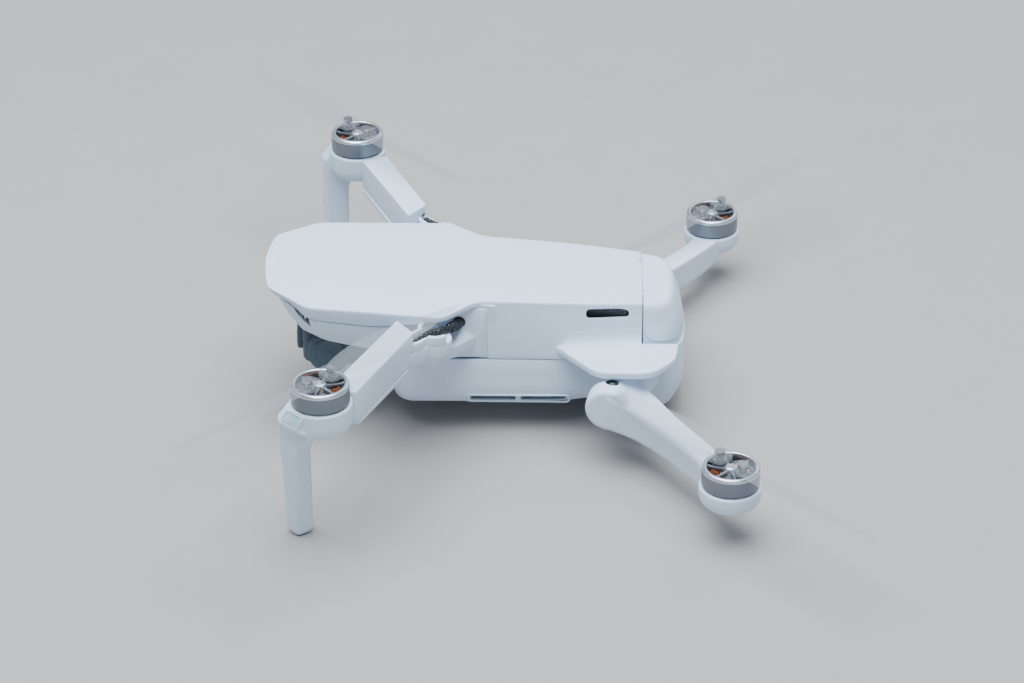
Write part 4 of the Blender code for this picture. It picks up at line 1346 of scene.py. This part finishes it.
class Cable:
    """The braided cable over the front hinge."""

    route = ((22.4, -23.1, 40.9), (24.6, -23.2, 41.1), (27.4, -24.3, 41.8), (31.0, -26.7, 42.8),
             (34.0, -29.8, 43.5), (37.0, -32.9, 43.9), (41.5, -36.8, 43.8))
    radius = 1.25

    def build(self) -> None:
        """Make the sleeve, thicker where it leaves the body."""
        path = refined(rounded(self.route, 2.2, 5), 0.5)
        count = len(path)
        sizes = []
        for k in range(count):
            t = k / (count - 1)
            boot = 0.55 * (1.0 - min(1.0, max(0.0, (t - 0.36) / 0.1)))
            sizes.append(self.radius + boot - 0.3 * math.exp(-(((t - 0.47) / 0.06) ** 2)))
        tube = Bench.tube("cable", path.tolist(), sizes, 20)
        dress(tube, Look.BRAID, 60.0)
        copy = Bench.other_side(tube, "cable_right")
        tube.name = "cable_left"
        for side, piece in ((Side.LEFT, tube), (Side.RIGHT, copy)):
            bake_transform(piece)
            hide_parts(f"arm_cable_{side.word}")
            log.info("%s bends with the front arm", piece.name)


@dataclass
class RearArm:
    """Rear arm with its root barrel."""

    hinge: ClassVar[tuple[float, float, float]] = (40.0, 27.0, 19.6)
    motor: tuple[float, float, float] = (84.6, 63.0, 18.9)
    mount_r: float = 9.85
    cell: float = 0.3

    @staticmethod
    def hinge_line(sign: int = 1) -> tuple[Vector, Vector]:
        """A point on the hinge and its direction, away from the body."""
        turn = math.radians(-27.9)
        way = Vector((math.cos(turn) * sign, math.sin(turn), 0.0))
        x, y, z = RearArm.hinge
        return Vector((x * sign, y, z)), way

    def arm(self) -> bpy.types.Object:
        """Barrel, swan-necked beam and mount as one moulding."""
        stations = [
            ((46.9, 24.6), (33.0, 31.6), 28.4, 13.6),
            ((48.2, 33.0), (34.6, 38.0), 23.9, 11.0),
            ((54.8, 41.4), (47.4, 46.8), 21.2, 9.4),
            ((69.3, 52.0), (63.4, 57.8), 20.0, 8.6),
            ((80.0, 57.0), (77.0, 66.2), 18.9, 9.0),
        ]
        numbers = [(*o, *i, top, low) for o, i, top, low in stations]
        path = refined(rounded(numbers, (0, 4.5, 4.5, 4.5, 0), 6, slice(0, 2)), 2.5, slice(0, 2))
        rings = []
        for ox, oy, ix, iy, top, low in path:
            out, inn = np.array((ox, oy)), np.array((ix, iy))
            section = [(0.0, top - 1.4), (0.02, low + 1.6), (0.16, low), (0.84, low),
                       (0.98, low + 1.6), (1.0, top - 0.5), (0.94, top), (0.14, top - 0.1)]
            ring = []
            for t, z in section:
                spot = out + (inn - out) * t
                ring.append((spot[0], spot[1], z))
            rings.append([tuple(p) for p in rounded(ring, 0.9, 2, closed=True)])
        beam = Bench.loft("beam", rings)
        start, way = self.hinge_line()
        room = Bench.rod("room", start - way * 26.0, start - way * 9.01, 5.9)
        Bench.combine(beam, room, how="DIFFERENCE")
        barrel = Bench.rod("barrel", start - way * 9.0, start + way * 6.0, 6.0, sides=64)
        lobe = Bench.rod("lobe", (38.4, 26.2, 21.7), (46.6, 24.9, 21.7), 7.3, sides=96)
        Bench.soften(barrel, 1.2, 3, 50.0)
        Bench.soften(lobe, 1.6, 5, 50.0)
        r = self.mount_r
        profile = rounded(
            [(0, 0), (r, 0), (r, -4.0), (r - 1.5, -6.4), (5.0, -8.0), (0, -8.2)],
            (0, 0.4, 1.6, 1.6, 1.5, 0), 5,
        )
        mount = Bench.turned("mount", profile.tolist(), self.motor, 72)
        arm = Bench.combine(mount, beam, barrel, lobe)
        hole = Bench.rod("hole", start - way * 13.0, start + way * 5.0, 2.25)
        Bench.melt(arm, self.cell, 6)
        # the hole over the hinge; a black disc at its foot adds painted shade (see build)
        top_hole_cut = Bench.rod("top_hole", (40.2, 26.6, 28.2), (40.2, 26.6, 31.0), 2.2)
        return Bench.combine(arm, hole, top_hole_cut, how="DIFFERENCE")

    def build(self) -> None:
        """Make both rear arms."""
        both_sides(
            self.arm(), "rear_arm_moulding", "rear_arm_{side}", Look.ARM, ["arm_rear_{side}"]
        )
        # painted shade: a black disc at the foot of the hole over the hinge darkens the hole
        profile = [(0, -0.1), (0.7, -0.1), (0.9, 0.15), (2.1, 0.2), (2.1, -0.3), (0, -0.3)]
        head = Bench.turned("hinge_hole_shade", profile, (40.2, 26.6, 28.3), 32)
        both_sides(head, "hinge_hole_shade", "rear_arm_{side}", Look.BLACK)


# ---------------------------------------------------------------- motors and propellers


@dataclass
class Motor:
    """Turning bell with its spider, and the wound stator under it."""

    bell_r: float = 9.1
    low: float = 0.7
    top: float = 6.9
    spokes: int = 6
    coils: int = 9

    def ring(self, seat: Vector) -> bpy.types.Object:
        """The bell's dark side wall."""
        r = self.bell_r
        profile = rounded(
            [(r, self.low), (r, 5.55), (r - 0.5, 5.75), (r - 0.8, 5.2), (r - 0.8, self.low)],
            (0.2, 0.15, 0.1, 0.1, 0.2), 3, closed=True,
        )
        return Bench.turned("bell_side", profile.tolist(), seat, 96)

    def rim(self, seat: Vector) -> bpy.types.Object:
        """The bright rim and hub."""
        r = self.bell_r
        rim = rounded(
            [(r + 0.02, 5.6), (r + 0.02, 6.25), (r - 0.55, self.top), (r - 1.35, self.top),
             (r - 1.6, 6.6), (r - 1.6, 5.6)],
            (0.1, 0.25, 0.25, 0.2, 0.2, 0.1), 3, closed=True,
        )
        parts = [Bench.turned("rim", rim.tolist(), seat, 96)]
        hub = [(0.0, 6.2), (0.5, 6.25), (0.6, 6.75), (1.5, 6.8), (1.95, 6.55), (2.15, 6.0)]
        hub += [(2.15, 3.4), (0.0, 3.4)]
        parts.append(Bench.turned("hub", rounded(hub, 0.15, 2).tolist(), seat, 48))
        return Bench.together("bell_rim", parts)

    def spider(self, seat: Vector, lean: float) -> bpy.types.Object:
        """Dark spokes between hub and rim, with the two blade bosses."""
        parts = []
        for k in range(self.spokes):
            turn = lean + TURN * (k + 0.5) / self.spokes
            way = Vector((math.cos(turn), math.sin(turn), 0.0))
            wide = Vector((-way.y, way.x, 0.0)) * 0.5
            rings = []
            for dist, half, top in (
                (1.8, 1.3, 5.9), (3.2, 0.8, 5.6), (6.0, 0.7, 5.5), (8.2, 1.2, 5.9)
            ):
                at = seat + way * dist
                rings.append([
                    at + wide * half + Vector((0, 0, top)), at - wide * half + Vector((0, 0, top)),
                    at - wide * half + Vector((0, 0, 4.8)), at + wide * half + Vector((0, 0, 4.8)),
                ])
            parts.append(Bench.soften(Bench.loft("spoke", rings), 0.15, 2))
        for sign in (1, -1):
            way = Vector((math.cos(lean), math.sin(lean), 0.0)) * (BLADE_PIVOT * sign)
            boss = rounded([(1.15, 4.6), (1.9, 4.6), (1.9, self.top), (1.15, self.top)], 0.15, 2,
                           closed=True)
            parts.append(Bench.turned("boss", boss.tolist(), seat + way, 32))
        return Bench.together("bell_spider", parts)

    def core(self, seat: Vector) -> bpy.types.Object:
        """Laminated core with a tooth behind each coil."""
        parts = [Bench.turned("core", [(1.6, 0.4), (3.3, 0.4), (3.3, 4.2), (1.6, 4.2)], seat, 36)]
        for k in range(self.coils):
            turn = TURN * k / self.coils
            arc = [turn + (s - 2) * 0.135 for s in range(5)]
            outer = [(math.cos(a) * 7.55, math.sin(a) * 7.55) for a in arc]
            inner = [(math.cos(a) * 7.0, math.sin(a) * 7.0) for a in reversed(arc)]
            outline = [(seat.x + x, seat.y + y) for x, y in outer + inner]
            parts.append(Bench.slab("tooth", outline, seat.z + 0.9, seat.z + 4.0))
        parts.append(Bench.turned(
            "base", [(1.7, 0.05), (8.6, 0.05), (8.6, 0.35), (5.0, 0.6), (1.7, 0.6)], seat, 48
        ))
        return Bench.together("stator_core", parts)

    def winding(self, seat: Vector) -> bpy.types.Object:
        """Copper coils with visible turns of wire."""
        turns = 7
        profile = [(0.0, 0.0)]
        for k in range(turns * 2 + 1):
            swell = 1.42 if k % 2 else 1.2
            profile.append((swell, 0.1 + 3.2 * k / (turns * 2)))
        profile.append((0.0, 3.4))
        coil = Bench.turned("coil", profile, ORIGIN, 14)
        Bench.lay(coil, -math.pi / 2, "Y", (1.0, 0.0, 0.0), (3.45, 0.0, 2.45))
        coils = []
        for k in range(self.coils):
            coils.append(Bench.copy_to(coil, "turns", seat, TURN * k / self.coils))
        bpy.data.objects.remove(coil, do_unlink=True)
        return Bench.together("stator_winding", coils)

    def build(self, corner: str, seat: Vector, lean: float, arm: str) -> None:
        """Fit one motor.

        Args:
            corner: Which corner of the drone, as in the node names.
            seat: Top of the mount, in millimetres.
            lean: Direction of the outer blade, in radians.
            arm: Body of the arm that carries it.
        """
        rotor = f"rotor_{corner}"
        bell, stator = [f"motor_bell_{corner}"], [f"motor_stator_{corner}"]
        for name, make, body, finish, nodes in (
            ("bell_side", lambda: self.ring(seat), rotor, Look.BELL, bell),
            ("bell_rim", lambda: self.rim(seat), rotor, Look.RIM, []),
            ("bell_spider", lambda: self.spider(seat, lean), rotor, Look.BELL, []),
            ("stator_core", lambda: self.core(seat), arm, Look.BELL, stator),
            ("stator_winding", lambda: self.winding(seat), arm, Look.COPPER, []),
        ):
            piece = dress(make(), finish)
            piece.name = f"{name}_{corner}"
            fit(piece, body, nodes)


@dataclass
class Blade:
    """One folding propeller blade."""

    reach: float = 59.5
    thickness: float = 1.7

    def build(self, corner: str, end: str, top: Vector, way: Vector, hand: int) -> None:
        """Fit one blade.

        Args:
            corner: Which corner of the drone.
            end: "outer" or "inner".
            top: Top of the bell on the motor's axis.
            way: Direction from the axis to the tip.
            hand: 1 or -1 for the side of the leading edge.
        """
        root = top + way * BLADE_PIVOT
        across = Vector((-way.y, way.x, 0.0)) * hand
        span = self.reach - BLADE_PIVOT
        low = root.z + 0.35
        mid = low + self.thickness / 2
        rings = []
        for t in (0.0, 0.05, 0.1, 0.16, 0.22, 0.3, 0.4, 0.5, 0.6, 0.7, 0.8, 0.88, 0.94, 0.98, 1.0):
            chord = 5.2 + 6.0 * math.sin(math.pi * min(1.0, t * 1.15) ** 0.75) - 1.6 * t
            if t > 0.85:
                chord *= math.sqrt(max(0.05, 1.0 - ((t - 0.85) / 0.155) ** 2))
            pitch = math.radians(4.0 + 15.0 * math.sin(math.pi * min(1.0, 0.12 + t * 0.9)))
            thick = 1.5 - 0.95 * t
            lead = across * math.cos(pitch) + Vector((0, 0, math.sin(pitch)))
            spot = Vector((root.x, root.y, mid)) + way * (span * t) + Vector((0, 0, 0.9 * t))
            spot += across * (0.08 * chord)
            ring = []
            for along, lift in ((0.5, 0.0), (0.42, 0.32), (0.18, 0.5), (-0.15, 0.38), (-0.5, 0.05),
                                (-0.15, -0.2), (0.18, -0.4), (0.42, -0.3)):
                ring.append(spot + lead * (chord * along) + Vector((0, 0, thick * lift)))
            rings.append(ring)
        web = Bench.loft("web", rings)
        centre = (root.x, root.y, low)
        eye = rounded(
            [(1.3, 0.0), (4.1, 0.0), (4.1, self.thickness), (1.3, self.thickness)],
            (0.15, 0.35, 0.35, 0.15), 3, closed=True,
        )
        hub = Bench.turned("eye", eye.tolist(), centre, 40)
        bore = Bench.rod("bore", (root.x, root.y, low - 3), (root.x, root.y, low + 5), 1.31)
        Bench.combine(web, bore, how="DIFFERENCE")
        blade = Bench.combine(hub, web)
        blade.name = f"propeller_{corner}_{end}"
        dress(blade, Look.BLADE, 40.0)
        fit(blade, f"blade_{corner}_{end}", [f"blade_{corner}_{end}"])


class Propulsion:
    """The four motors with their blades."""

    lean = math.radians(42.5)
    seats = {Place.FRONT: FrontArm.motor, Place.REAR: RearArm.motor}

    def build(self) -> None:
        """Fit every corner."""
        for place, (x, y, z) in self.seats.items():
            outward = -1 if place is Place.FRONT else 1
            for side in Side:
                seat = Vector((x * side.value, y, z))
                corner = f"{place.value}_{side.word}"
                way = Vector((side.value * math.cos(self.lean), outward * math.sin(self.lean), 0))
                turn = math.atan2(way.y, way.x)
                Motor().build(corner, seat, turn, f"{place.value}_arm_{side.word}")
                top = seat + Vector((0.0, 0.0, Motor.top))
                hand = side.value * -outward
                for end, direction in (("outer", way), ("inner", -way)):
                    Blade().build(corner, end, top, direction, hand)


# ---------------------------------------------------------------- gimbal and inner parts


@dataclass
class Gimbal:
    """Camera with its lens rings, and the two arms that carry it."""

    yaw_y: float = -56.0
    tilt_y: float = -66.5
    tilt_z: float = 23.2

    def camera(self) -> None:
        """Camera body with a stepped lens barrel and glass."""
        y, z = self.tilt_y, self.tilt_z
        body = Bench.block("camera_case", (-9.6, y - 9.3, z - 6.8), (9.6, y + 9.3, z + 6.8))
        Bench.soften(body, 2.6, 6)
        well = Bench.rod("well", (-0.5, y - 12.0, z), (-0.5, y - 8.7, z), 5.9, sides=64)
        Bench.combine(body, well, how="DIFFERENCE")
        Bench.soften(body, 0.25, 2, 50.0)
        fit(dress(body, Look.SLATE), "camera", ["camera_body"])
        front = y - 9.3
        profile = rounded(
            [(0.0, 0.3), (2.0, 0.35), (2.4, 1.0), (3.6, 1.1), (4.3, 1.75), (5.2, 1.9), (5.55, 1.5),
             (5.55, 0.0), (0.0, 0.0)],
            (0, 0.3, 0.3, 0.3, 0.4, 0.3, 0.3, 0.2, 0), 3,
        )
        barrel = Bench.turned("lens_barrel", profile.tolist(), ORIGIN, 72)
        glass_at = [(0.0, 1.72)] + [
            (r, 1.72 - 0.42 * (r / 4.2) ** 2) for r in (1.0, 2.0, 3.0, 3.8, 4.2)
        ] + [(4.2, 1.15), (0.0, 1.15)]
        glass = Bench.turned("lens_glass", glass_at, ORIGIN, 72)
        for piece in (barrel, glass):
            Bench.lay(piece, -math.pi / 2, "X", (0.0, -1.0, 0.0), (-0.5, front - 0.25, z))
        fit(dress(barrel, Look.SLATE), "camera")
        fit(dress(glass, Look.GLASS), "camera", ["camera_lens"])

    def arms(self) -> None:
        """Yaw arm with the roll motor, and roll arm with the tilt motor."""
        y, z, yaw = self.tilt_y, self.tilt_z, self.yaw_y
        disc = Bench.rod("disc", (0, yaw, 39.2), (0, yaw, 42.2), 7.4, sides=64)
        top = Bench.block("top", (-5.5, yaw, 39.2), (5.5, -46.9, 41.4))
        post = Bench.block("post", (-5.5, -49.9, z), (5.5, -46.9, 41.4))
        housing = Bench.rod("housing", (0, -49.9, z), (0, -46.6, z), 6.9, sides=64)
        for piece, width in ((disc, 0.6), (housing, 0.7)):
            Bench.soften(piece, width, 3)
        arm = Bench.combine(top, post, disc, housing)
        Bench.melt(arm, 0.3, 5)
        arm.name = "yaw_arm"
        fit(dress(arm, Look.SLATE), "gimbal_yaw", ["gimbal_yaw_arm"])
        disc = Bench.rod("side_disc", (10.1, y, z), (14.2, y, z), 7.2, sides=64)
        bar = Bench.block("side_bar", (10.1, y, 19.2), (14.2, -50.4, 27.2))
        back = Bench.block("back_bar", (-6.5, -53.0, 18.2), (14.2, -50.4, 28.2))
        motor = Bench.rod("roll_disc", (0, -53.0, z), (0, -50.3, z), 6.8, sides=64)
        arm = Bench.combine(disc, bar, back, motor)
        Bench.melt(arm, 0.3, 6)
        arm.name = "roll_arm"
        fit(dress(arm, Look.SLATE), "gimbal_roll", ["gimbal_roll_arm"])
        cap = rounded(
            [(0.0, 0.0), (5.6, 0.0), (5.6, -0.35), (4.9, -0.6), (4.6, -0.35), (1.2, -0.35),
             (1.0, -0.55), (0.0, -0.55)],
            (0, 0.1, 0.15, 0.2, 0.1, 0.1, 0.1, 0), 2,
        )
        plate = Bench.turned("tilt_cap", cap.tolist(), ORIGIN, 56)
        Bench.lay(plate, math.pi / 2, "Y", (1.0, 0.0, 0.0), (14.15, y, z))
        fit(dress(plate, Look.SLATE), "gimbal_roll")

    def build(self) -> None:
        """Fit the whole gimbal."""
        self.camera()
        self.arms()


class Details:
    """Small parts on and under the body, and the finishes of the pieces kept as they are."""

    kept = {
        "intake_grille": Look.MESH, "side_vent": Look.MESH, "main_board": Look.BOARD,
        "heat_sink": Look.ALLOY, "sensor_window": Look.GLASS, "usb_socket": Look.STEEL,
        "gimbal_damper": Look.SLATE, "hinge_pin": Look.STEEL, "battery": Look.BATTERY,
        "power_button": Look.BUTTON, "blade_screw": Look.STEEL, "gimbal": Look.SLATE,
        "camera": Look.SLATE, "arm": Look.ARM, "motor": Look.BELL, "blade": Look.BLADE,
        "led": Look.WINDOW,
    }

    def dress_nodes(self) -> None:
        """Give every node of the frame its finish."""
        for name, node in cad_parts.items():
            finish = next((f for key, f in self.kept.items() if name.startswith(key)), Look.SHELL)
            node.data.materials.clear()
            node.data.materials.append(finish.material())

    def eyes(self) -> None:
        """Two lenses and a lamp behind the window under the nose."""
        lens = [(0, 0.25), (1.6, 0.15), (2.1, -0.1), (2.6, -0.1), (2.75, 0.35), (0, 0.35)]
        parts = [Bench.turned("eye", lens, (x, -31.2, 9.45), 36) for x in (-6.2, 6.2)]
        parts.append(Bench.turned("lamp", [(0.0, -0.1), (1.2, 0.0), (1.3, 0.35), (0.0, 0.35)],
                                  (0.0, -31.2, 9.45), 24))
        eyes = dress(Bench.together("sensor_eyes", parts), Look.BUTTON)
        fit(eyes, "airframe")

    def charge_lamps(self) -> None:
        """Four small lamps round the power button."""
        lamps = []
        for k in range(4):
            a = math.radians(210 + 40 * k)
            at = (6.6 * math.cos(a), 17.5 + 6.6 * math.sin(a), 9.55)
            lamps.append(Bench.turned("lamp", [(0.0, -0.18), (0.4, -0.12), (0.5, 0.2), (0.0, 0.2)],
                                      at, 16))
        fit(dress(Bench.together("charge_lamps", lamps), Look.WINDOW), "airframe")

    def socket_tongue(self) -> None:
        """Contact tongue inside the charging socket."""
        tongue = Bench.soften(Bench.block("tongue", (-2.6, 45.2, 19.7), (2.6, 49.2, 20.3)), 0.12, 2)
        fit(dress(tongue, Look.BLACK), "airframe")

    def battery_tab(self) -> None:
        """Pull tab and contact block at the battery's rear."""
        tab = Bench.block("battery_tab", (-5.5, 35.9, 34.0), (5.5, 37.2, 39.5))
        Bench.soften(tab, 0.5, 3)
        grips = [
            Bench.soften(Bench.block("grip", (-4.5, 36.9, z), (4.5, 37.5, z + 0.5)), 0.15, 2)
            for z in (35.2, 36.5, 37.8)
        ]
        fit(dress(Bench.together("battery_tab", [tab, *grips]), Look.BUTTON), "battery")

    def build(self) -> None:
        """Fit every small part."""
        self.dress_nodes()
        self.eyes()
        self.charge_lamps()
        self.socket_tongue()
        self.battery_tab()


# ---------------------------------------------------------------- studio


@dataclass
class Studio:
    """Pale floor, soft light and the camera."""

    eye: tuple[float, float, float] = (0.8837, 0.0142, 0.5327)
    target: tuple[float, float, float] = (0.0, -0.0065, 0.0203)
    lens: float = 107.57
    roll: float = -0.16

    def floor(self) -> None:
        """A wide plain flat floor."""
        Bench.clear()
        bpy.ops.mesh.primitive_grid_add(x_subdivisions=4, y_subdivisions=4, size=12.0,
                                        location=(0.0, 0.0, -0.0002))
        floor = Bench.adopt("floor")
        floor.data.materials.append(
            Finish("floor_paper", "", (0.33, 0.31, 0.30), 0.85, grain=2.0, relief=0.0,
                   mottle=0.02).material()
        )

    def light(self, name: str, at: Point, size: float, power: float, tint: Point) -> None:
        """A soft square light that faces the drone."""
        data = bpy.data.lights.new(name, "AREA")
        data.size = size
        data.energy = power
        data.color = tint
        obj = bpy.data.objects.new(name, data)
        bpy.context.scene.collection.objects.link(obj)
        obj.location = at
        obj.rotation_euler = (-Vector(at)).to_track_quat("-Z", "Y").to_euler()

    def camera(self) -> None:
        """The camera, seen from the drone's left and above."""
        data = bpy.data.cameras.new("camera")
        data.lens = self.lens
        data.sensor_width = 36.0
        data.clip_start = 0.01
        obj = bpy.data.objects.new("camera", data)
        bpy.context.scene.collection.objects.link(obj)
        obj.location = self.eye
        way = Vector(self.target) - Vector(self.eye)
        turn = way.to_track_quat("-Z", "Y").to_matrix().to_4x4()
        obj.rotation_euler = turn.to_euler()
        obj.rotation_euler.rotate_axis("Z", math.radians(self.roll))
        bpy.context.scene.camera = obj

    def build(self) -> None:
        """Set the whole studio."""
        self.floor()
        self.light("overhead", (0.1, -0.15, 1.6), 1.6, 84.0, (0.88, 0.95, 1.0))
        self.light("side", (1.5, 0.5, 0.6), 1.2, 3.0, (0.93, 0.97, 1.0))
        self.light("back", (-1.2, 0.8, 1.0), 1.2, 8.0, (0.93, 0.97, 1.0))
        world = bpy.context.scene.world or bpy.data.worlds.new("studio")
        bpy.context.scene.world = world
        world.use_nodes = True
        sky = world.node_tree.nodes["Background"]
        sky.inputs["Color"].default_value = (0.70, 0.83, 1.0, 1.0)
        sky.inputs["Strength"].default_value = 0.45
        self.camera()


def numbers(pair: tuple[Vector, Vector]) -> list[list[float]]:
    """A box's corners as plain numbers."""
    return [[float(value) for value in corner] for corner in pair]


def main() -> None:
    """Build the drone's looks."""
    logging.basicConfig(level=logging.INFO, format="%(name)s: %(message)s")
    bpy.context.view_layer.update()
    Bench.clear()
    Studio().build()
    Details().build()
    Body().build()
    FrontArm().build()
    Cable().build()
    RearArm().build()
    Propulsion().build()
    Gimbal().build()


if __name__ == "__main__":
    main()
